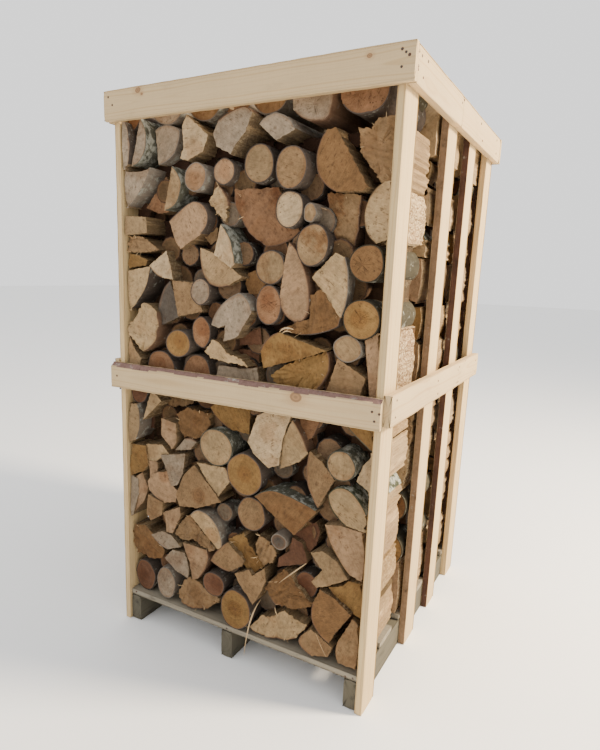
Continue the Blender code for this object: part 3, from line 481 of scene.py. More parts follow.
def cleftPaint():
    # A split side: long fibres along the log, in wood browned by the air, with lighter fresh slivers. Its
    # sideTone colour also carries painted shade on logs inside the pile.
    paint = Paint("split_side", roughness=0.9, specular=0.15)
    place, seed = paint.attribute("place", "Vector"), paint.attribute("seed")
    _, _, speckle = paint.split(paint.attribute("marks", "Vector"))
    fibres = paint.drawn(place, (190.0, 9.0, 190.0), 4.0, 0.65, seed)
    bands = paint.drawn(place, (34.0, 3.4, 34.0), 4.0, 0.62, seed + 5.0)
    patch = paint.noise(place, 9.0, 4.0, 0.6, seed + 2.0)
    fine = paint.noise(place, 240.0, 3.0, 0.6, seed)
    light = fibres * 0.80 + bands * 0.75 + patch * 0.40 + fine * 0.25 - 0.10
    colour = paint.shade(paint.attribute("sideTone", "Color"), light)
    colour = paint.mix(paint.step(bands, 0.54, 0.70) * 0.45, colour, (196, 166, 124))
    dark = paint.step(fibres + patch * 0.3, 0.56, 0.46)
    colour = paint.mix(dark * 0.45, colour, (92, 64, 44))
    colour = paint.mix(paint.step(patch, 0.54, 0.70) * 0.4, colour, paint.tint(colour, (188, 144, 112)))
    # pale grains and dark pits where a log is specked
    grains = paint.noise(paint.vector("MULTIPLY", place, (1.0, 0.6, 1.0)), 170.0, 3.0, 0.7, seed + 9.0)
    colour = paint.mix(paint.step(grains, 0.52, 0.60) * speckle * 0.7, colour, (206, 184, 146))
    pits = paint.step(grains, 0.47, 0.40) * (speckle * 0.85 + 0.15)
    colour = paint.mix(pits * 0.8, colour, (76, 54, 38))
    height = fibres * 1.2 + bands * 1.3 + fine * 0.35
    return paint.finish(colour, height, depth=0.0040, strength=0.9)


def barkPaint():
    # Smooth grey or rough brown bark with lichen, short cracks along the log and fine pores across it
    paint = Paint("bark", roughness=0.92, specular=0.12)
    place, seed = paint.attribute("place", "Vector"), paint.attribute("seed")
    tone, lichen = paint.attribute("barkTone", "Color"), paint.attribute("lichen")
    blotch = paint.noise(paint.vector("MULTIPLY", place, (1.0, 0.45, 1.0)), 26.0, 4.0, 0.62, seed)
    ridges = paint.drawn(place, (120.0, 22.0, 120.0), 3.0, 0.65, seed + 4.0)
    fine = paint.noise(place, 340.0, 2.0, 0.6, seed)
    light = blotch * 0.95 + ridges * 0.65 + fine * 0.30 - 0.02
    colour = paint.shade(tone, light)
    growth = paint.noise(place, 38.0, 6.0, 0.72, seed + 8.0) + lichen * 0.20
    colour = paint.mix(paint.step(growth, 0.60, 0.74) * 0.8, colour, (164, 164, 152))
    colour = paint.mix(paint.step(blotch, 0.40, 0.30) * 0.5, colour, (50, 42, 34))
    crack = paint.step(ridges, 0.34, 0.27)
    colour = paint.mix(crack * 0.7, colour, (34, 27, 23))
    height = blotch * 0.8 + ridges * 0.9 - crack * 0.6 + fine * 0.3
    return paint.finish(colour, height, depth=0.0030, strength=0.8)


def boardPaint(name, early, late, grimeAndShade, knots=(), dirtAndShadeColour=(120, 100, 78)):
    # Rough-sawn softwood. "board" is (along, across, through) in metres from the board's own pith line, so
    # the growth rings are cut by each face as they would be. A knot is (along, across, radius).
    paint = Paint(name, roughness=0.8, specular=0.2)
    board, seed = paint.attribute("board", "Vector"), paint.attribute("seed")
    along, across, through = paint.split(board)
    sway = paint.drawn(board, (2.2, 5.0, 5.0), 2.0, 0.5, seed)
    radius = paint.vector("LENGTH", paint.join(0.0, across, through), give=1) + (sway - 0.5) * 0.030
    rings = paint.lines(radius * 230.0 + seed * 5.0, 1.0)
    streaks = paint.drawn(board, (6.0, 240.0, 240.0), 3.0, 0.6, seed)
    saw = paint.drawn(board, (330.0, 9.0, 9.0), 2.0, 0.5, seed + 2.0)
    patch = paint.noise(board, 4.5, 3.0, 0.6, seed + 6.0)
    fine = paint.noise(board, 380.0, 2.0, 0.6, seed)
    colour = paint.mix(paint.step(rings, 0.48, 0.70) * 0.5, early, late)
    height = streaks * 0.5 + saw * 0.45 + rings * 0.25 + fine * 0.3
    for knotAlong, knotAcross, knotRadius in knots:
        way = paint.join((along - knotAlong) * 0.75, across - knotAcross, 0.0)
        reach = paint.vector("LENGTH", way, give=1) / knotRadius
        ringsOfKnot = paint.maths("SINE", reach * 11.0) * 0.5 + 0.5
        core = paint.step(reach + (fine - 0.5) * 0.2, 1.0, 0.86)
        halo = paint.step(reach, 2.6, 0.9)
        colour = paint.mix(halo * 0.4, colour, (158, 124, 88))
        knotColour = paint.mix(ringsOfKnot * 0.6, (142, 108, 76), (92, 68, 50))
        colour = paint.mix(core * 0.85, colour, knotColour)
        height = height - core * 0.4
    light = 0.72 + patch * 0.24 + streaks * 0.20 + saw * 0.08 + fine * 0.12
    colour = paint.shade(colour, light)
    # streaks of dirt; on the bearers their strength and colour are also painted shade
    dirt = paint.step(paint.drawn(board, (9.0, 26.0, 26.0), 5.0, 0.65, seed + 9.0), 0.56, 0.70)
    colour = paint.mix(dirt * grimeAndShade, colour, dirtAndShadeColour)
    return paint.finish(colour, height, depth=0.0010, strength=0.6)


paints = {
    "sawn": sawnPaint(),
    "cleft": cleftPaint(),
    "bark": barkPaint(),
}
print("firewood materials made")


def meshPiece(name, points, faces, attributes, materials, slots, sharp=38.0):
    # A piece from arrays: corner indices of faces by size, attributes of its points by name, and a slot for
    # each face. Edges sharper than sharp degrees stay hard.
    mesh = bpy.data.meshes.new(name)
    sizes = np.concatenate([np.full(len(group), group.shape[1]) for group in faces])
    corners = np.concatenate([group.ravel() for group in faces])
    starts = np.concatenate([[0], np.cumsum(sizes)[:-1]])
    mesh.vertices.add(len(points))
    mesh.vertices.foreach_set("co", points.astype(np.float32).ravel())
    mesh.loops.add(len(corners))
    mesh.loops.foreach_set("vertex_index", corners.astype(np.int32))
    mesh.polygons.add(len(sizes))
    mesh.polygons.foreach_set("loop_start", starts.astype(np.int32))
    mesh.update(calc_edges=True)
    for material in materials:
        mesh.materials.append(material)
    mesh.polygons.foreach_set("material_index", np.asarray(slots, np.int32))
    kinds = {1: ("FLOAT", "value"), 3: ("FLOAT_VECTOR", "vector"), 4: ("FLOAT_COLOR", "color")}
    for key, values in attributes.items():
        values = np.asarray(values, np.float32)
        kind, field = kinds[1 if values.ndim == 1 else values.shape[1]]
        mesh.attributes.new(key, kind, "POINT").data.foreach_set(field, values.ravel())
    mesh.shade_smooth()
    mesh.set_sharp_from_angle(angle=np.radians(sharp))
    piece = bpy.data.objects.new(name, mesh)
    bpy.context.scene.collection.objects.link(piece)
    return piece


def ringQuads(count, n, turned=False):
    # The four-cornered faces between count rings of n points each, from one ring to the next
    i = np.arange(n)
    j = (i + 1) % n
    rows = np.arange(count - 1)[:, None] * n
    corners = [rows + i, rows + j, rows + n + j, rows + n + i]
    if turned:
        corners = [corners[k] for k in (0, 3, 2, 1)]
    return np.stack(corners, -1).reshape(-1, 4)


def placed(piece, slot, *nodes):
    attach(piece, "root")
    if nodes:
        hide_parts(*nodes)


def arcPoints(start, end, bulge, count):
    # Points from start towards end on an arc that bows out to the left of the way by bulge
    start, end = np.array(start[:2], float), np.array(end[:2], float)
    way = end - start
    chord = np.hypot(*way)
    share = np.arange(count) / count
    if bulge < 0.2:
        return start + share[:, None] * way
    radius = (chord**2 / 4 + bulge**2) / (2 * bulge)
    half = np.arcsin(min(1.0, chord / 2 / radius))
    if bulge > chord / 2:
        half = np.pi - half
    turn = -half + 2 * half * share
    along = 0.5 + radius * np.sin(turn) / chord
    out = radius * (np.cos(turn) - np.cos(half)) / chord
    return start + along[:, None] * way + out[:, None] * np.array([-way[1], way[0]])


def outlineOf(shape, spacing):
    # The outline of a face in centimetres, with a point each spacing or so, and how barky each point is
    if np.isscalar(shape[0]):
        x, z, across, up = shape
        count = max(12, int(2 * np.pi * (across + up) / 2 / spacing))
        turn = 2 * np.pi * np.arange(count) / count
        return np.stack([x + across * np.sin(turn), z + up * np.cos(turn)], 1), np.ones(count)
    points, bark = [], []
    for i, corner in enumerate(shape):
        after = shape[(i + 1) % len(shape)]
        bulge = corner[2] if len(corner) > 2 else 0.0
        length = np.hypot(after[0] - corner[0], after[1] - corner[1]) + bulge
        count = max(2, int(round(length / spacing)))
        points.append(arcPoints(corner, after, bulge, count))
        bark.append(np.full(count, 1.0 if bulge >= 0.5 else 0.0))
    return np.concatenate(points), np.concatenate(bark)


def waves(rng, s, count, lowest, highest):
    # A sum of count sine waves round a closed line, s in 0 to 1, scaled to about 1
    number = rng.integers(lowest, highest, count)
    phase = rng.uniform(0, 2 * np.pi, count)
    size = rng.uniform(0.4, 1.0, count) / np.sqrt(np.maximum(number, 1))
    return (np.sin(2 * np.pi * s[:, None] * number + phase) * size).sum(1) / size.sum()


def middleOf(outline):
    # The point that lies deepest inside all the outline's edges, so that rings round it never fold: the best
    # of a grid of 13 by 13
    low, high = outline.min(0), outline.max(0)
    x, z = (np.linspace(low[k], high[k], 15)[1:-1] for k in (0, 1))
    grid = np.stack(np.meshgrid(x, z), -1).reshape(-1, 2)
    coarse = outline[:: max(1, len(outline) // 36)]
    way = np.roll(coarse, -1, 0) - coarse
    inward = np.stack([way[:, 1], -way[:, 0]], 1) / (np.hypot(way[:, 0], way[:, 1])[:, None] + 1e-9)
    depth = ((grid[:, None, :] - coarse[None]) * inward[None]).sum(2).min(1)
    return grid[depth.argmax()]


# Spacing is in centimetres round the outline. Rings are shares of the way from a face's middle to its edge.
fineness = {
    "front": {"spacing": 0.55, "stations": 15, "rings": (0.93, 0.80, 0.62, 0.42, 0.20)},
    "rear": {"spacing": 0.85, "stations": 9, "rings": (0.90, 0.66, 0.36)},
    "middle": {"spacing": 1.3, "stations": 6, "rings": (0.88, 0.45)},
    "heart": {"spacing": 2.4, "stations": 3, "rings": (0.6,)},
}
logDetail = {
    "wave": 0.0012,  # slow waves round every log
    "grain": 0.0005,  # random steps on split sides
    "jag": 0.0022,  # quick waves on split sides
    "tornJag": 0.0034,  # what a torn log adds to them
    "groove": 0.0052,  # fibre grooves that keep their place along the log
    "drift": 0.0020,  # and those that don't
    "bump": 0.0012,  # low bumps on bark
    "taper": 0.035,
    "bend": 0.002,
    "leanX": 0.46,  # past this, a log leans on the boards and is flatter
    "tilt": 0.05,  # slope of the saw cut
    "ripple": 0.0007,  # of a sawn face
    "tornRipple": 0.0022,
    "tornFibre": 0.0009,
    "tornRings": (0.90, 0.76, 0.62, 0.48, 0.34, 0.20, 0.08),
    "noBark": 0.05,  # the distance from the bark that split edges and middles are given
}


def roughOutline(outline, bark, torn, rng):
    # The outline pushed along its normals by slow waves, and by quick jags where it is split. Gives the
    # normals too.
    n = len(outline)
    s = np.arange(n) / n
    forward = np.roll(outline, -1, 0) - np.roll(outline, 1, 0)
    normal = np.stack([-forward[:, 1], forward[:, 0]], 1)
    normal /= np.hypot(normal[:, 0], normal[:, 1])[:, None] + 1e-9
    cleft = 1 - bark
    wave = waves(rng, s, 5, 2, 7) * logDetail["wave"] * (0.4 + bark)
    jag = (rng.normal(0, 1, n) * logDetail["grain"] + waves(rng, s, 9, 9, 34) * logDetail["jag"]) * cleft
    if torn:
        jag = jag * 1.8 + waves(rng, s, 9, 8, 26) * logDetail["tornJag"] * cleft
    return outline + normal * (wave + jag)[:, None], normal


def sideRings(outline, normal, bark, middle, start, end, count, rng):
    # The outline at count places from start to end. It narrows, bends a little, and is pushed along its
    # normals by fibre grooves where it is split and by low bumps where it is bark.
    n = len(outline)
    s = np.arange(n) / n
    v = (np.arange(count) / (count - 1)) ** 1.15
    taper = 1 - logDetail["taper"] * v + 0.010 * np.sin(5 * v + rng.uniform(0, 6))
    bend = rng.uniform(-logDetail["bend"], logDetail["bend"], 2)[None] * (v * (1 - v) * 4)[:, None]
    grooves = (waves(rng, s, 10, 6, 40) * logDetail["groove"])[None] * np.minimum(1, v * 9)[:, None]
    grooves = grooves + np.stack([waves(rng, s, 7, 4, 22) for _ in range(count)]) * logDetail["drift"]
    grooves = grooves * np.where(np.abs(outline[:, 0]) > logDetail["leanX"], 0.7, 1.0)
    bumps = np.stack([waves(rng, s, 6, 2, 15) for _ in range(count)])
    bumps = (bumps + np.roll(bumps, 1, 0)) * logDetail["bump"]
    push = grooves * (1 - bark)[None] + bumps * (0.25 + 0.75 * bark)[None]
    push[0] = 0
    ring = middle + (outline[None] - middle) * taper[:, None, None] + bend[:, None, :]
    ring = ring + normal[None] * push[:, :, None]
    points = np.empty((count, n, 3))
    points[:, :, 0], points[:, :, 2] = ring[:, :, 0], ring[:, :, 1]
    points[:, :, 1] = start + (end - start) * v[:, None]
    return points


def pithOf(outline, bark, middle, rng):
    # Near the middle of a round. A split's pith lies at the corner across from its bark.
    across = outline[:, 0] * np.roll(outline[:, 1], -1) - outline[:, 1] * np.roll(outline[:, 0], -1)
    size = np.sqrt(np.abs(np.sum(across)) / 2)
    pith = middle + rng.uniform(-0.15, 0.15, 2) * size
    barky = outline[bark > 0.5]
    if len(barky) and not bark.all():
        pith = middle + (middle - barky.mean(0)) * 1.25
    return pith


def sawnFace(edge, bark, y, inward, shares, tilt, grain, torn, rng):
    # Rings drawn in from the edge to the middle, on a cut that leans and ripples. A torn face has more
    # waves, long ones along the grain and short ones across it. Gives the edge's new y, the inner rings,
    # the middle, and how far the rings lie from the bark.
    middle = middleOf(edge)
    rings = middle + (edge - middle)[None] * shares[:, None, None]
    ripple = logDetail["tornRipple"] if torn else logDetail["ripple"]
    cut = ((rings - middle) * tilt).sum(2)
    cut += ripple * np.sin(rings[:, :, 0] * rng.uniform(60, 140) + rng.uniform(0, 6))
    cut += ripple * np.sin(rings[:, :, 1] * rng.uniform(60, 140) + rings[:, :, 0] * 40)
    if torn:
        for k in rng.normal(0, (260, 70), (11, 2)) @ grain:
            cut += logDetail["tornFibre"] * np.sin((rings * k).sum(2) + rng.uniform(0, 6))
    cut = y + inward * (cut - cut.min())
    inner = np.stack([rings[1:-1, :, 0], cut[1:-1], rings[1:-1, :, 1]], -1)
    rim = (1 - shares[1:-1])[:, None] * np.hypot(*(edge - middle).T)[None]
    rim = rim + (1 - bark)[None] * logDetail["noBark"]
    return cut[0], inner, np.array([middle[0], cut[-1, 0], middle[1]]), rim


def logSurface(outline, bark, start, end, looks, rng, fine):
    # A log: its outline carried from the sawn face at start to the one at end, and closed by both faces.
    # Gives points, quads, triangles, a slot for each face, and each point's way from the pith and distance
    # from the bark.
    torn = "torn" in looks.split()
    n, m = len(outline), fine["stations"]
    outline, normal = roughOutline(outline, bark, torn, rng)
    middle = middleOf(outline)
    sides = sideRings(outline, normal, bark, middle, start, end, m, rng)
    pith = pithOf(outline, bark, middle, rng)
    tilt = rng.uniform(-logDetail["tilt"], logDetail["tilt"], 2)
    lean = rng.uniform(0, 3.14)
    grain = np.array([[np.cos(lean), np.sin(lean)], [-np.sin(lean), np.cos(lean)]])
    shares = np.array((1.0, *(logDetail["tornRings"] if torn else fine["rings"]), 0.0))

    points = [sides.reshape(-1, 3)]
    rims = [np.where(bark > 0.5, 0.0, logDetail["noBark"])[None].repeat(m, 0).ravel()]
    quads, tris = [ringQuads(m, n)], []
    slots = [np.where(bark + np.roll(bark, -1) > 1.5, 1, 2)[None].repeat(m - 1, 0).ravel()]
    i = np.arange(n)
    j = (i + 1) % n
    inside = len(shares) - 2
    offset = m * n
    way = np.sign(end - start)
    for station, y, inward in ((0, start, way), (m - 1, end, -way)):
        edge = sides[station][:, (0, 2)]
        edgeY, inner, heart, rim = sawnFace(edge, bark, y, inward, shares, tilt, grain, torn, rng)
        sides[station, :, 1] = edgeY
        points += [inner.reshape(-1, 3), heart[None]]
        rims += [rim.ravel(), [logDetail["noBark"]]]
        rows = np.concatenate([[station * n], offset + np.arange(inside) * n])
        outer, deeper = rows[:-1, None], rows[1:, None]
        cap = np.stack([outer + j, outer + i, deeper + i, deeper + j], -1)
        fan = np.stack([rows[-1] + j, rows[-1] + i, np.full(n, offset + inside * n)], -1)
        if station:
            cap, fan = cap[..., ::-1], fan[..., ::-1]
        quads.append(cap.reshape(-1, 4))
        tris.append(fan)
        slots.append(np.zeros(inside * n, int))
        offset += inside * n + 1
    slots.append(np.zeros(2 * n, int))
    points = np.concatenate(points)
    place = points - np.array([pith[0], start, pith[1]])
    quads, tris, slots, rims = (np.concatenate(group) for group in (quads, tris, slots, rims))
    return points, quads, tris, slots, place, rims


def logTraits(looks, rng, light, outer):
    # The numbers that a log's materials read, from the words of its looks. light is painted shade that
    # darkens its wood and bark, and outer is painted shade on its split sides: 1 for logs at the sunny right
    # wall, 0.62 inside.
    words = looks.split()
    tone = linear(woods[words[0]]) * rng.uniform(0.90, 1.08) * light
    barkTone, lichen = barks[words[1]]
    heart = 0.40 if "ringed" in words else rng.uniform(0.0, 0.12)
    stain = 1.0 if "stained" in words else rng.uniform(0.1, 0.6)
    speckle = 1.0 if "specked" in words else rng.uniform(0.0, 0.35)
    sunny = outer == 1
    paintedSideShade = max(light, 0.95) if sunny else light * outer
    sunnyBark = linear((205, 215, 195)) if sunny else 1.0
    browned = tone / light * 0.4 + linear(woods["cream"]) * 0.6
    return {
        "tone": tone,
        "sideTone": browned * rng.uniform(0.70, 1.12) * paintedSideShade,
        "barkTone": linear(barkTone) * rng.uniform(0.85, 1.2) * min(1, light * 1.25) * sunnyBark,
        "lichen": lichen * rng.uniform(0.7, 1.2),
        "marks": (heart, stain, speckle),
        "cracks": 1.0 if "cracked" in words else 0.0,
        "seed": rng.uniform(0, 40),
    }


def joined(parts):
    # One mesh from a list of (points, quads, triangles), each part's corners moved on past the ones before
    points, quads, tris = [], [], []
    offset = 0
    for made, quad, tri in parts:
        points.append(made)
        quads.append(quad + offset)
        tris.append(tri + offset)
        offset += len(made)
    return np.concatenate(points), [np.concatenate(quads), np.concatenate(tris)]


def buildLogs(name, logs, fine, slot, nodes, seed, light=1.0):
    # One piece from a list of (outline, bark, start, end, looks). light is painted shade that darkens all
    # their colours.
    rng = np.random.default_rng(seed)
    limit = crate["innerX"] - crate["logClearance"] * 0.5
    parts, quadSlots, triSlots, fields = [], [], [], {}
    for outline, bark, start, end, looks in logs:
        points, quads, tris, slots, place, rim = logSurface(outline, bark, start, end, looks, rng, fine)
        points[:, 0] = np.clip(points[:, 0], -limit, limit)
        points[:, 2] = np.maximum(points[:, 2], crate["deckTop"] + 0.0004)
        if end < start:
            quads, tris = quads[:, ::-1], tris[:, ::-1]
        parts.append((points, quads, tris))
        quadSlots.append(slots[: len(quads)])
        triSlots.append(slots[len(quads):])
        made = {"place": place, "rim": rim}
        # painted shade: split sides of logs away from the sunny right wall are darkened to 0.62, for the
        # shade inside the pile
        outer = 1.0 if points[:, 0].max() > 0.44 else 0.62
        for key, value in logTraits(looks, rng, light, outer).items():
            if key in ("tone", "sideTone", "barkTone"):
                value = (*value, 1.0)
            n = len(points)
            made[key] = np.full(n, value) if np.isscalar(value) else np.tile(value, (n, 1))
        for key, values in made.items():
            fields.setdefault(key, []).append(values)
    points, faces = joined(parts)
    fields = {key: np.concatenate(values) for key, values in fields.items()}
    materials = [paints["sawn"], paints["bark"], paints["cleft"]]
    piece = meshPiece(name, points, faces, fields, materials, np.concatenate(quadSlots + triSlots))
    placed(piece, slot, *nodes)
    return piece


def frontFace(setback, shape, spacing):
    # The outline in metres at the face's own depth, along the lines of sight from eye
    outline, bark = outlineOf(shape, spacing)
    faceY = crate["front"] + setback / 100
    reach = (faceY - eye[1]) / (readY - eye[1])
    sight = np.array([eye[0], eye[2]])
    return faceY, sight + (outline / 100 - sight) * reach, bark


def inCrate(outline, bark, top=9.0, inset=0.0, fall=0.020):
    # The outline kept above the deck and between the walls. The outer half of a log that would pass a wall
    # is drawn in towards its middle, and a flat split side there falls back by the square of the height.
    limit = crate["innerX"] - crate["logClearance"] - crate["barkRoom"] - inset
    low = crate["deckTop"] + 0.0005
    x, z = outline[:, 0], np.clip(outline[:, 1], low, top)
    side = np.sign(x.mean())
    reach = (x * side).max()
    if reach <= limit:
        return np.stack([x, z], 1)
    middle = (reach + (x * side).min()) / 2
    drawnIn = side * (middle + (x * side - middle) * (limit - middle) / (reach - middle))
    x = np.where(x * side > middle, drawnIn, x)
    outer = np.abs(x) > limit - 0.002
    if not bark.all():
        centre = (z[outer].max() + z[outer].min()) / 2
        half = (z[outer].max() - z[outer].min()) / 2 + 0.001
        away = (z - centre) / half + 0.3 * np.sin(centre * 90)
        x = np.where(outer, x * (1 - fall * away**2), x)
    return np.stack([x, z], 1)


def frontLog(setback, looks, shape, fine, end=None):
    # One log of the front row, as buildLogs takes it
    faceY, outline, bark = frontFace(setback, shape, fine["spacing"])
    return inCrate(outline, bark), bark, faceY, end or faceY + crate["logLength"], looks


tornEdges = []
# The last number of each course is painted shade: it darkens the course's log colours, the lower course most
for course, faces, node, slot, light in (
    ("top", topFaces, "front_top_log_{}", "top_logs", 0.96),
    ("upper", upperFaces, "front_row_logs", "split_firewood", 0.92),
    ("lower", lowerFaces, "front_row_logs", "split_firewood", 0.70),
):
    for i, (setback, looks, shape) in enumerate(faces):
        log = frontLog(setback, looks, shape, fineness["front"])
        seed = 1000 + 100 * len(faces) + i
        buildLogs(f"{course}_log_{i + 1}", [log], fineness["front"], slot, [node.format(i + 1)], seed, light)
        if "torn" in looks:
            tornEdges.append((log[2], log[0]))
    print("front row,", course, "course:", len(faces), "logs")


# Loose logs that lie deeper under the front top rail and close the gaps between the others
deepFaces = (
    (3, "brown dark", (-46, 181.0, 4.6, 4.2)),
    (9, "brown dark", (-24.2, 181.4, 3.6, 3.2)),
    (9, "brown grey", (-4, 181.4, 5.5, 3.2)),
    (12, "brown dark", (44.6, 180.6, 2.8, 2.6)),
)
# Small splits of the darkest wood behind the widest gaps of the front row, their colours halved as painted
# shade
gapFaces = (
    (7, ((-50.5, 153.0), (-42, 155.5), (-37, 152), (-40, 147), (-50.5, 146))),
    (8, ((-50.5, 139.5), (-39, 139), (-37, 131.5), (-50.5, 130.5))),
    (7, ((-48, 87.5), (-41, 89.5), (-36.5, 85), (-37, 77), (-48, 76.5))),
    (9, ((-50.5, 76.5), (-37.5, 76.5), (-37.5, 68.5), (-50.5, 68.5))),
)
deepEnd = crate["front"] + crate["logLength"]
for i, face in enumerate(deepFaces):
    log = frontLog(*face, fineness["rear"], deepEnd)
    buildLogs(f"deep_top_log_{i + 1}", [log], fineness["rear"], "top_logs", [], 900 + i)
for i, (setback, shape) in enumerate(gapFaces):
    log = frontLog(setback, "redbrown dark", shape, fineness["rear"], deepEnd)
    node = ["front_row_logs"]
    buildLogs(f"deep_log_{i + 1}", [log], fineness["rear"], "split_firewood", node, 920 + i, 0.5)


# The logs at the heart of each row, seen only through its gaps. Sizes of the splits are in centimetres.
hearts = {
    "levels": 17,
    "columns": 9,
    "pitch": (10.4, 9.55),
    "lowest": 19.6,
    "half": (5.3, 4.95),  # more than half the pitch, so that neighbours overlap
    "highest": 171,
    "depth": 0.105,  # how far the wall of splits lies behind the faces
    "unevenness": 0.012,  # of that depth
    "sideX": 40,  # past this a split lies at a wall
    "sideInset": 0.024,
    "rearSideDepth": 0.028,
    "cornerInset": 0.001,  # of the splits that close the view past the rear corner boards
    "cornerLength": 0.06,
    "roundStep": (5.2, 4.8),  # from a split's middle to the round before it, across on every other level
    "roundWander": 1.4,
    "roundHalf": (3.3, 4.9),
    "roundDepth": (0.040, 0.070),
    "roundWithin": (43, 160),
    "looks": ("tan brown", "greyish grey", "brown dark", "pink dark"),
    "rows": (  # row, where its faces are, the way into it, where its logs end, and the painted shade that darkens its deep rounds
        ("front", crate["front"], 1, -0.235, 0.45),
        ("middle", crate["middleFace"], 1, 0.15, 0.6),
        ("rear", crate["rearFace"], -1, 0.24, 0.7),
    ),
}


def heartLogs(row, face, way, back):
    # A closed wall of splits behind the row's faces, and rounds 4 to 7 cm behind the faces
    rng = np.random.default_rng(12)
    spacing = fineness["heart"]["spacing"]
    halfX, halfZ = hearts["half"]
    walls, rounds = [], []
    for level, column in np.ndindex(hearts["levels"], hearts["columns"]):
        x = (column - hearts["columns"] // 2) * hearts["pitch"][0]
        z = hearts["lowest"] + level * hearts["pitch"][1]
        top = min(z + halfZ, hearts["highest"])
        shape = ((x - halfX, z - halfZ), (x - halfX, top), (x + halfX, top), (x + halfX, z - halfZ))
        outline, bark = outlineOf(shape, spacing)
        depth = hearts["depth"] + hearts["unevenness"] * np.sin(3.1 * level + 1.7 * column)
        if abs(x) > hearts["sideX"]:
            start = face + way * (hearts["rearSideDepth"] if row == "rear" else depth)
            side = inCrate(outline / 100, bark, inset=hearts["sideInset"], fall=0)
            walls.append((side, bark, start, back, "brown dark"))
            if row == "rear":
                corner = inCrate(outline / 100 * (1.05, 1), bark, inset=hearts["cornerInset"], fall=0)
                walls.append((corner, bark, start, start + way * hearts["cornerLength"], "redbrown dark"))
            continue
        walls.append((outline / 100, bark, face + way * depth, back, "redbrown dark"))
        across, up = hearts["roundStep"]
        wander = rng.uniform(-hearts["roundWander"], hearts["roundWander"], 2)
        x, z = np.array([x + across * (level % 2), z + up]) + wander
        half = rng.uniform(*hearts["roundHalf"])
        start = face + way * rng.uniform(*hearts["roundDepth"])
        if abs(x) < hearts["roundWithin"][0] and z < hearts["roundWithin"][1]:
            outline, bark = outlineOf((x, z, half, half), spacing)
            look = hearts["looks"][rng.integers(len(hearts["looks"]))]
            rounds.append((outline / 100, bark, start, back, look))
    return walls, rounds


for row, face, way, back, light in hearts["rows"]:
    walls, rounds = heartLogs(row, face, way, back)
    node = [row + "_row_logs"]
    # painted shade: the walls deep in each row are darkened to 0.3 of their colours, the rounds by their
    # row's number
    buildLogs(row + "_heart_logs", walls, fineness["heart"], "split_firewood", node, 950, 0.3)
    buildLogs(row + "_deep_logs", rounds, fineness["heart"], "split_firewood", node, 951, light)
print("logs at the heart of the rows done")


# The rows behind take the front row's faces with the two tiers swapped, the rear one turned left to right
tierZ = crate["midRailZ"] + 0.04
tiers = (
    ("lower", upperFaces, (crate["midRailZ"] + crate["railHeight"] - 0.02, 1.74), (crate["deckTop"], tierZ)),
    ("upper", lowerFaces, (crate["deckTop"], crate["midRailZ"]), (tierZ, crate["rowTop"])),
)
rows = {
    "rear": {"turn": -1, "start": crate["rearFace"], "way": -1, "setback": 0.01, "groups": 4},
    "middle": {"turn": 1, "start": crate["middleFace"], "way": 1, "setback": 0.003, "groups": 2},
}
insets = np.random.default_rng(8)  # how far each log at a side lies behind the boards


def turnedLogs(settings, faces, spacing, low, high, newLow, newHigh):
    # Faces of the front row as logs of a row behind, sorted by height
    logs = []
    for setback, looks, shape in faces:
        _, outline, bark = frontFace(setback, shape, spacing)
        outline[:, 1] = newLow + (outline[:, 1] - low) * (newHigh - newLow) / (high - low)
        outline[:, 0] *= settings["turn"]
        outline = inCrate(outline, bark, crate["rowTop"], insets.uniform(0, 0.014))
        if settings["turn"] < 0:
            outline, bark = outline[::-1], bark[::-1]
        start = settings["start"] + settings["way"] * setback * settings["setback"]
        end = settings["start"] + settings["way"] * (crate["logLength"] - 0.004)
        logs.append((outline, bark, start, end, looks))
    return sorted(logs, key=lambda log: log[0][:, 1].mean())


for row, settings in rows.items():
    node = [row + "_row_logs"]
    for tier, faces, oldTier, newTier in tiers:
        logs = turnedLogs(settings, faces, fineness[row]["spacing"], *oldTier, *newTier)
        share = -(-len(logs) // settings["groups"])
        for i in range(settings["groups"]):
            group = logs[i * share:(i + 1) * share]
            buildLogs(f"{row}_{tier}_logs_{i + 1}", group, fineness[row], "split_firewood", node, 40 + i)
    print(row, "row done")

topLooks = ("tan grey", "pink dark", "orange brown", "beige lichen", "brown brown", "cream grey",
            "yellow dark", "pink brown")
for row, shapes, start, end in (("middle", middleTop, -0.16, 0.16), ("rear", rearTop, 0.54, 0.21)):
    for i, shape in enumerate(shapes):
        outline, bark = outlineOf(shape, fineness["rear"]["spacing"])
        step = 0.008 * np.sin(2.4 * i)
        log = (inCrate(outline / 100, bark), bark, start + step, end + step, topLooks[i * 3 % len(topLooks)])
        name, node = f"{row}_loose_log_{i + 1}", f"{row}_top_log_{i + 1}"
        buildLogs(name, [log], fineness["rear"], "top_logs", [node], 70 + i)
print("loose top logs done")


rail = ((182, 159, 122), (165, 136, 96), 0.14)  # early wood, late wood, and how grimy it is
boardKinds = {
    "rails": {"paint": boardPaint("rail_wood", *rail), "slot": "rails"},
    "walls": {"paint": boardPaint("wall_wood", (190, 165, 122), (171, 140, 95), 0.12), "slot": "wall_boards"},
    "deck": {"paint": boardPaint("deck_wood", (130, 122, 106), (114, 105, 90), 0.6, (), (82, 75, 64)),
             "slot": "base_timber"},
    # Bearers: dark wood and dark dirt, partly grime and partly painted shade for where they sit low in shade
    "bearers": {"paint": boardPaint("bearer_wood", (86, 81, 68), (73, 67, 54), 0.7, (), (46, 43, 37)),
                "slot": "base_timber"},
}
# Rails with knots that show: a big one in the front middle rail, small ones in the front top rail
middleRailPaint = boardPaint("middle_rail_wood", *rail, [(0.240, 0.018, 0.016)])
topRailPaint = boardPaint("top_rail_wood", *rail,
                          [(-0.366, 0.033, 0.009), (-0.350, 0.020, 0.004), (0.395, 0.024, 0.006)])

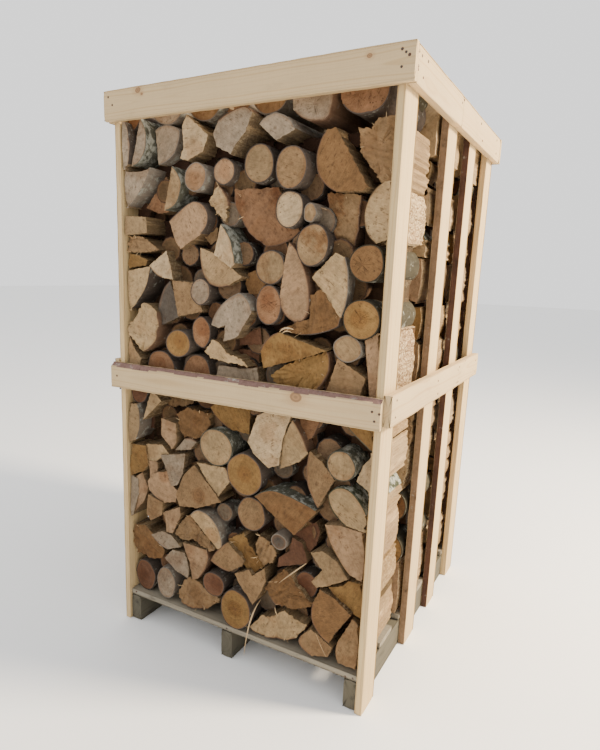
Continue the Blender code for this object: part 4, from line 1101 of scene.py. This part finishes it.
boardDetail = {
    "corner": 0.0022,  # how far each corner is broken
    "rows": 7,  # points across a face
    "spacing": 0.03,  # of the sections along a board
    "bow": 0.0008,
    "inset": 0.0009,  # of the near face
    "fray": 0.0006,  # how unevenly the saw left the corners
    "bite": 0.0012,
}


def boardProfile(width, thick, wane):
    # A board's section as (across, through): up the near face, over the top, down the far face and back
    # under the bottom. A wane needs close points near the top of the near face.
    corner = boardDetail["corner"]
    inset = corner * np.array([1.0, 0.3, 0.0])
    steps = np.linspace(0, 1, boardDetail["rows"])[1:-1]
    a = np.concatenate([inset, corner + (width - 2 * corner) * steps, width - inset[::-1]])
    if wane:
        a = np.unique(np.round(np.concatenate([a, width - np.linspace(0.0002, 0.030, 11)]), 5))
        a = a[(a > corner) & (a < width)]
        a = np.concatenate([inset, a[a > corner * 1.2]])
    breaks = [0, 0.3 * corner, corner, width - corner, width - 0.3 * corner, width]
    near = np.stack([a, np.interp(a, breaks, [corner, 0.3 * corner, 0, 0, 0.3 * corner, corner])], 1)
    under = [[0.0, 0.5 * thick]]
    if wane:
        near[:, 1] = np.where(a < corner, near[:, 1], 0.0)
        far = np.stack([a[::-1], np.full(len(a), thick)], 1)
        return np.concatenate([near, [[width, 0.45 * thick], [width, 0.75 * thick]], far, under])
    far = near[::-1] * [1, -1] + [0, thick]
    return np.concatenate([near, [[width, 0.5 * thick]], far, under])


def boardSurface(low, high, rng, settings, wane=0.0):
    # A board: its section carried along its longest side. The corners wander a little where the saw tore
    # them. wane is how deep the bark edge cuts into the upper front corner.
    low, high = np.array(low), np.array(high)
    size = high - low
    along, across, through = np.argsort(-size)
    width, thick = size[across], size[through]
    profile = boardProfile(width, thick, wane)
    n = len(profile)
    m = max(4, int(size[along] / settings.get("spacing", boardDetail["spacing"])))
    v = np.linspace(0, 1, m)
    ring = np.broadcast_to(profile, (m, n, 2)).copy()
    edge = (np.minimum(profile[:, 0], width - profile[:, 0]) < boardDetail["corner"] * 1.2).astype(float)
    bite = np.abs(rng.normal(0, boardDetail["fray"], (m, n)))
    bite = bite + boardDetail["bite"] * np.maximum(0, waves(rng, v, 9, 3, 40))[:, None]
    centre = np.array([width, thick]) / 2
    ring += (centre - ring) / (np.abs(centre - ring).max(2, keepdims=True) + 1e-6) * (bite * edge)[:, :, None]
    waneDepth = np.zeros(m)
    if wane:
        waneDepth = wane * (0.72 + 0.30 * waves(rng, v, 5, 2, 9) + 0.12 * waves(rng, v, 6, 12, 34))
        share = np.clip(1 - (width - ring[:, :, 0]) / waneDepth[:, None], 0, 1)
        cut = 0.62 * thick * share**0.75 + 0.0010 * share * rng.normal(0, 1, (m, n))
        ring[:, :, 1] = np.where(share > 0, np.maximum(ring[:, :, 1], cut), ring[:, :, 1])
    bow = boardDetail["bow"] * np.sin(np.pi * v + rng.uniform(-0.6, 0.6))
    points = np.empty((m, n, 3))
    # a slanted end starts farther along at the top than at the bottom, or the other way round
    share = ring[:, :, 0] / width
    first, last = settings.get("slant", (0, 0))
    first = low[along] + first * share
    last = high[along] - last * (1 - share)
    points[:, :, along] = first + (last - first) * v[:, None]
    points[:, :, across] = low[across] + ring[:, :, 0]
    nearSide = settings["near"] if "near" in settings else -1
    depth = ring[:, :, 1] + np.abs(bow)[:, None] + boardDetail["inset"]
    points[:, :, through] = low[through] + depth if nearSide < 0 else high[through] - depth
    points[0, :, along] += rng.uniform(0, 0.0006)
    points[:, :, through] = np.clip(points[:, :, through], low[through], high[through])

    barky = np.zeros((m, n), bool)
    if wane:
        barky = (width - ring[:, :, 0] < waneDepth[:, None] * 1.02) & (ring[:, :, 1] < thick * 0.7)
    elif "bark" in settings:
        barky = ring[:, :, 0] < 0.004
    beside = barky & np.roll(barky, -1, 1)
    slots = np.concatenate([(beside[:-1] & beside[1:]).astype(int).ravel(), np.zeros(2 * n, int)])
    i = np.arange(n)
    ends = [np.stack([i, (i + 1) % n, np.full(n, m * n)], -1),
            np.stack([(m - 1) * n + i, (m - 1) * n + (i + 1) % n, np.full(n, m * n + 1)], -1)[:, ::-1]]
    quads, tris = ringQuads(m, n, turned=True), np.concatenate(ends)
    if (np.linalg.det(np.eye(3)[[across, through, along]]) < 0) != (nearSide > 0):
        quads, tris = quads[:, ::-1], tris[:, ::-1]
    points = np.concatenate([points.reshape(-1, 3), points[0].mean(0)[None], points[-1].mean(0)[None]])
    local = points - (low + high) / 2
    pith = (settings.get("shift", rng.uniform(-0.3, 0.3) * width), 0.030 * rng.uniform(0.6, 1.6))
    board = np.stack([local[:, along], local[:, across] + pith[0], local[:, through] + pith[1]], 1)
    return points, quads, tris, slots, board


def buildBoard(node, kind, seed, wane=0.0, paint=None, **settings):
    # A board in place of its node. near is the side of its near face, and bark the colour of the bark left on
    # one edge of it; on the right slats that colour is also painted shade on their front edges.
    low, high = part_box(node)
    rng = np.random.default_rng(seed)
    points, quads, tris, slots, board = boardSurface(low, high, rng, settings, wane)
    n = len(points)
    fields = {"board": board, "seed": np.full(n, rng.uniform(0, 40))}
    materials = [paint or boardKinds[kind]["paint"]]
    if "bark" in settings:
        materials.append(paints["bark"])
        fields["place"] = points - (np.array(low) + np.array(high)) / 2
        fields["barkTone"] = np.tile([*linear(settings["bark"]), 1.0], (n, 1))
        fields["lichen"] = np.full(n, 0.25 if wane else 0.0)
    piece = meshPiece(node + "_wood", points, [quads, tris], fields, materials, slots, sharp=50.0)
    placed(piece, boardKinds[kind]["slot"], node)


slants = {"right_middle_rail_front": (0, 0.18), "right_middle_rail_rear": (0.18, 0)}
# Front edges of the right slats: bark colours darkened as painted shade, the rear slat's most
slatBarkAndShade = {"right_slat_front": (134, 110, 86), "right_slat_rear": (82, 60, 50)}
for i, node in enumerate(sorted(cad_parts)):
    seed = 500 + i
    if node == "front_middle_rail":
        buildBoard(node, "rails", seed, wane=0.019, paint=middleRailPaint, spacing=0.012, shift=0.0,
                   bark=(126, 99, 91))
    elif node == "front_top_rail":
        buildBoard(node, "rails", seed, paint=topRailPaint, shift=0.0)
    elif "rail" in node:
        near = 1 if node.startswith(("right", "rear")) else -1
        buildBoard(node, "rails", seed, near=near, slant=slants.get(node, (0, 0)))
    elif node in slatBarkAndShade:
        buildBoard(node, "walls", seed, near=1, bark=slatBarkAndShade[node])
    elif "corner_board" in node or "slat" in node:
        buildBoard(node, "walls", seed, near=1 if node.startswith("right") else -1)
    elif node.startswith("deck_board"):
        buildBoard(node, "deck", seed)
    elif node.startswith("bearer"):
        buildBoard(node, "bearers", seed)
print("boards done")


# Where nails are, apart from those that are worked out from where boards cross
nails = {
    "sides": 10,
    "front": ((-0.490, 1.860), (-0.473, 1.835), (0.480, 1.861), (0.490, 1.853), (0.499, 1.846),
              (0.481, 1.822), (0.466, 0.967), (0.487, 0.963), (0.474, 0.941), (-0.482, 0.956),
              (-0.468, 0.912)),
    "deck": (-0.443, -0.0225, 0.425, 0.450),
    "rightTopRail": ((-0.556, 1.860), (-0.531, 1.857), (-0.555, 1.828), (-0.555, 1.820), (-0.080, 1.868),
                     (-0.103, 1.855)),
    "profile": ((0.0034, -0.0022), (0.0034, -0.0005), (0.0022, -0.0001)),  # radius and height of each ring
}


def nailPlaces(rng):
    # (x, y, z, axis that the nail points along, sign): two where an upright crosses a side rail, and the rest
    # listed or at the ends of the rear rails
    places = []
    for side, sign in (("left", -1), ("right", 1)):
        rails = [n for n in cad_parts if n.startswith(side) and "rail" in n]
        for upright in ("corner_board_front", "slat_front", "slat_rear", "corner_board_rear"):
            low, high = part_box(f"{side}_{upright}")
            y = (low[1] + high[1]) / 2
            for rail in rails:
                railLow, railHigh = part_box(rail)
                if not railLow[1] + 0.02 < y < railHigh[1] - 0.02:
                    continue
                face = railHigh[0] if sign > 0 else railLow[0]
                for up in (0.24, 0.76):
                    z = railLow[2] + (railHigh[2] - railLow[2]) * up + rng.uniform(-0.006, 0.006)
                    places.append((face, y + rng.uniform(-0.03, 0.03), z, 0, sign))
    low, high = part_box("front_top_rail")
    places += [(x, low[1], z, 1, -1) for x, z in nails["front"]]
    for rail in ("rear_top_rail", "rear_middle_rail"):
        low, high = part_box(rail)
        for x in (low[0] + 0.030, low[0] + 0.042, high[0] - 0.045, high[0] - 0.030):
            for up in (0.25, 0.70):
                z = low[2] + (high[2] - low[2]) * up + rng.uniform(-0.007, 0.007)
                places.append((x + rng.uniform(-0.004, 0.004), high[1], z, 1, 1))
    low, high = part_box("deck_board_1")
    middle = (low[2] + high[2]) / 2
    places += [(x, low[1], middle + rng.uniform(-0.004, 0.004), 1, -1) for x in nails["deck"]]
    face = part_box("right_top_rail_front")[1][0]
    return places + [(face, y, z, 0, 1) for y, z in nails["rightTopRail"]]


def nailHead():
    # A low dome: rings of the profile, closed by a fan on top and one below
    sides = nails["sides"]
    turn = 2 * np.pi * np.arange(sides) / sides
    rings = [np.stack([r * np.cos(turn), r * np.sin(turn), np.full(sides, h)], 1)
             for r, h in nails["profile"]]
    count = len(rings)
    points = np.concatenate([*rings, [[0, 0, 0.0], [0, 0, nails["profile"][0][1]]]])
    i = np.arange(sides)
    j = (i + 1) % sides
    last = (count - 1) * sides
    fans = [np.stack([last + i, last + j, np.full(sides, count * sides)], 1),
            np.stack([j, i, np.full(sides, count * sides + 1)], 1)]
    return points, ringQuads(count, sides), np.concatenate(fans)


def buildNails():
    # Nail heads on the boards' faces, each a little larger or smaller
    rng = np.random.default_rng(77)
    head, quads, tris = nailHead()
    parts = []
    for x, y, z, axis, sign in nailPlaces(rng):
        a, b, c = (head * rng.uniform(0.9, 1.15)).T
        local = [c * sign, a * sign, b] if axis == 0 else [a * -sign, c * sign, b]
        parts.append((np.stack(local, 1) + [x, y, z], quads, tris))
    points, faces = joined(parts)
    paint = Paint("nail_steel", roughness=0.55, specular=0.4)
    rust = paint.noise(paint.node("ShaderNodeTexCoord", give=3), 300.0, 3.0, 0.6)
    paint.shader.inputs["Metallic"].default_value = 0.6
    material = paint.finish(paint.mix(paint.step(rust, 0.45, 0.6), (66, 62, 60), (92, 58, 40)))
    slots = np.zeros(sum(len(group) for group in faces))
    placed(meshPiece("nails", points, faces, {}, [material], slots, sharp=60.0), "rails")


buildNails()
print("nails done")


# Long torn strips, listed: four guide points, width and thickness
splinters = {
    "sections": 12,
    "perLog": 5,
    "strips": (
        (((0.094, -0.520, 0.246), (0.088, -0.572, 0.222), (0.079, -0.582, 0.150), (0.069, -0.5785, 0.058)),
         0.0056, 0.0018),
        (((0.276, -0.556, 0.449), (0.246, -0.566, 0.420), (0.216, -0.567, 0.391), (0.188, -0.568, 0.360)),
         0.0050, 0.0018),
        (((0.320, -0.556, 0.224), (0.334, -0.561, 0.200), (0.349, -0.563, 0.180), (0.364, -0.563, 0.158)),
         0.0022, 0.0012),
        (((0.170, -0.555, 0.262), (0.174, -0.562, 0.256), (0.180, -0.566, 0.250), (0.186, -0.566, 0.243)),
         0.0035, 0.0014),
        (((-0.050, -0.540, 1.801), (-0.043, -0.546, 1.797), (-0.035, -0.549, 1.792), (-0.026, -0.550, 1.786)),
         0.0110, 0.0030),
        (((0.150, -0.550, 1.157), (0.166, -0.560, 1.171), (0.184, -0.566, 1.176), (0.200, -0.556, 1.168)),
         0.0050, 0.0016),
        (((0.158, -0.550, 1.152), (0.172, -0.563, 1.163), (0.186, -0.566, 1.166), (0.194, -0.554, 1.158)),
         0.0030, 0.0012),
    ),
}


def stripSurface(path, width, thick, rng):
    # A torn strip along a curve that four points guide, a flat four-sided section that narrows at both ends
    # and turns a little on its way
    count = splinters["sections"]
    t = np.linspace(0, 1, count)[:, None]
    weights = np.hstack([(1 - t) ** 3, 3 * t * (1 - t) ** 2, 3 * t**2 * (1 - t), t**3])
    centre = weights @ np.array(path, float)
    way = np.gradient(centre, axis=0)
    way /= np.linalg.norm(way, axis=1, keepdims=True)
    across = np.cross(way, [0.1, 1.0, 0.2])
    across /= np.linalg.norm(across, axis=1, keepdims=True)
    out = np.cross(way, across)
    turn = rng.uniform(-0.5, 0.5) + t * rng.uniform(-1, 1)
    across, out = across * np.cos(turn) + out * np.sin(turn), out * np.cos(turn) - across * np.sin(turn)
    size = np.sqrt(np.sin(np.pi * (0.04 + 0.92 * t))) * (0.85 + 0.3 * rng.random((count, 1)))
    corners = [across * width / 2, out * thick / 2, -across * width / 2, -out * thick / 2]
    points = np.stack([centre + corner * size for corner in corners], 1).reshape(-1, 3)
    ends = np.array([[3, 2, 1, 0], np.arange(4) + (count - 1) * 4])
    return points, np.concatenate([ringQuads(count, 4), ends])


def shortStrips(rng):
    # Short fibres that stand out of the torn logs' edges
    strips = []
    for faceY, outline in tornEdges:
        middle = outline.mean(0)
        for _ in range(splinters["perLog"]):
            start = outline[rng.integers(len(outline))]
            start = middle + (start - middle) * rng.uniform(0.75, 0.97)
            way = (start - middle) / np.hypot(*(start - middle)) + rng.normal(0, 0.5, 2)
            length = rng.uniform(0.006, 0.016)
            places = [start + way * length * share for share in (0, 0.35, 0.7, 1.0)]
            forward = rng.uniform(0.002, 0.010)
            path = [(x, max(faceY + 0.006 - forward * share * 1.6, -0.583), z)
                    for (x, z), share in zip(places, (0, 0.5, 0.9, 1.0))]
            strips.append((path, rng.uniform(0.0010, 0.0024), 0.0010))
    return strips


def buildSplinters():
    rng = np.random.default_rng(31)
    parts = []
    for path, width, thick in [*splinters["strips"], *shortStrips(rng)]:
        points, quads = stripSurface(path, width, thick, rng)
        points[:, 1] = np.maximum(points[:, 1], cadLow[1] + 0.0005)
        parts.append((points, quads, np.empty((0, 3), int)))
    points, faces = joined(parts)
    paint = Paint("splinter_wood", roughness=0.9, specular=0.15)
    grain = paint.noise(paint.node("ShaderNodeTexCoord", give=3), 90.0, 3.0, 0.6)
    material = paint.finish(paint.mix(grain, (140, 112, 80), (196, 172, 134)))
    piece = meshPiece("splinters", points, faces[:1], {}, [material], np.zeros(len(faces[0])), sharp=50.0)
    placed(piece, "split_firewood")


buildSplinters()
print("splinters done")


def buildFloor():
    paint = Paint("floor", roughness=0.95, specular=0.1)
    material = paint.finish(paint.full((242, 242, 241)))
    half, z = 30.0, -0.0005
    points = np.array([[-half, -half, z], [half, -half, z], [half, half, z], [-half, half, z]])
    floor = meshPiece("floor", points, [np.array([[0, 1, 2, 3]])], {}, [material], [0])
    floor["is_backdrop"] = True


buildFloor()

lights = {
    "key": {"place": (4.2, 1.2, 3.6), "aim": (0.3, 0.0, 0.9), "size": 1.2, "power": 950,
            "colour": (255, 236, 206)},
    "front": {"place": (-1.6, -5.0, 3.2), "aim": (0, 0, 0.9), "size": 3.5, "power": 25,
              "colour": (244, 246, 255)},
}
for name, light in lights.items():
    data = bpy.data.lights.new(name, "AREA")
    data.shape = "DISK"
    data.size = light["size"]
    data.energy = light["power"]
    data.color = linear(light["colour"])
    lamp = bpy.data.objects.new(name, data)
    lamp.location = light["place"]
    lamp.rotation_euler = (Vector(light["aim"]) - Vector(light["place"])).to_track_quat("-Z", "Y").to_euler()
    bpy.context.scene.collection.objects.link(lamp)

sky = {"colour": (1.0, 1.0, 1.0, 1.0), "strength": 1.45}
world = bpy.data.worlds.new("studio")
world.use_nodes = True
background = world.node_tree.nodes["Background"]
background.inputs["Color"].default_value = sky["colour"]
background.inputs["Strength"].default_value = sky["strength"]
bpy.context.scene.world = world

view = {
    "place": (0.9997, -2.0476, 1.3322),
    "forward": (-0.48671, 0.84851, -0.20769),
    "up": (-0.13134, 0.16397, 0.97768),
    "image": (600, 750),  # in pixels, as the next two
    "focal": 580.59,
    "centre": (274.80, 394.66),
    "film": 36.0,  # millimetres high
}
wide, high = view["image"]
cameraData = bpy.data.cameras.new("camera")
cameraData.sensor_fit = "VERTICAL"
cameraData.sensor_height = view["film"]
cameraData.lens = view["focal"] / high * view["film"]
cameraData.shift_x = (wide / 2 - view["centre"][0]) / high
cameraData.shift_y = (view["centre"][1] - high / 2) / high
cameraData.clip_end = 200
camera = bpy.data.objects.new("camera", cameraData)
forward = Vector(view["forward"]).normalized()
right = forward.cross(Vector(view["up"])).normalized()
turn = Matrix((right, right.cross(forward), -forward)).transposed()
camera.matrix_world = Matrix.Translation(view["place"]) @ turn.to_4x4()
bpy.context.scene.collection.objects.link(camera)
bpy.context.scene.camera = camera
print("camera and lights set")

low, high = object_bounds()
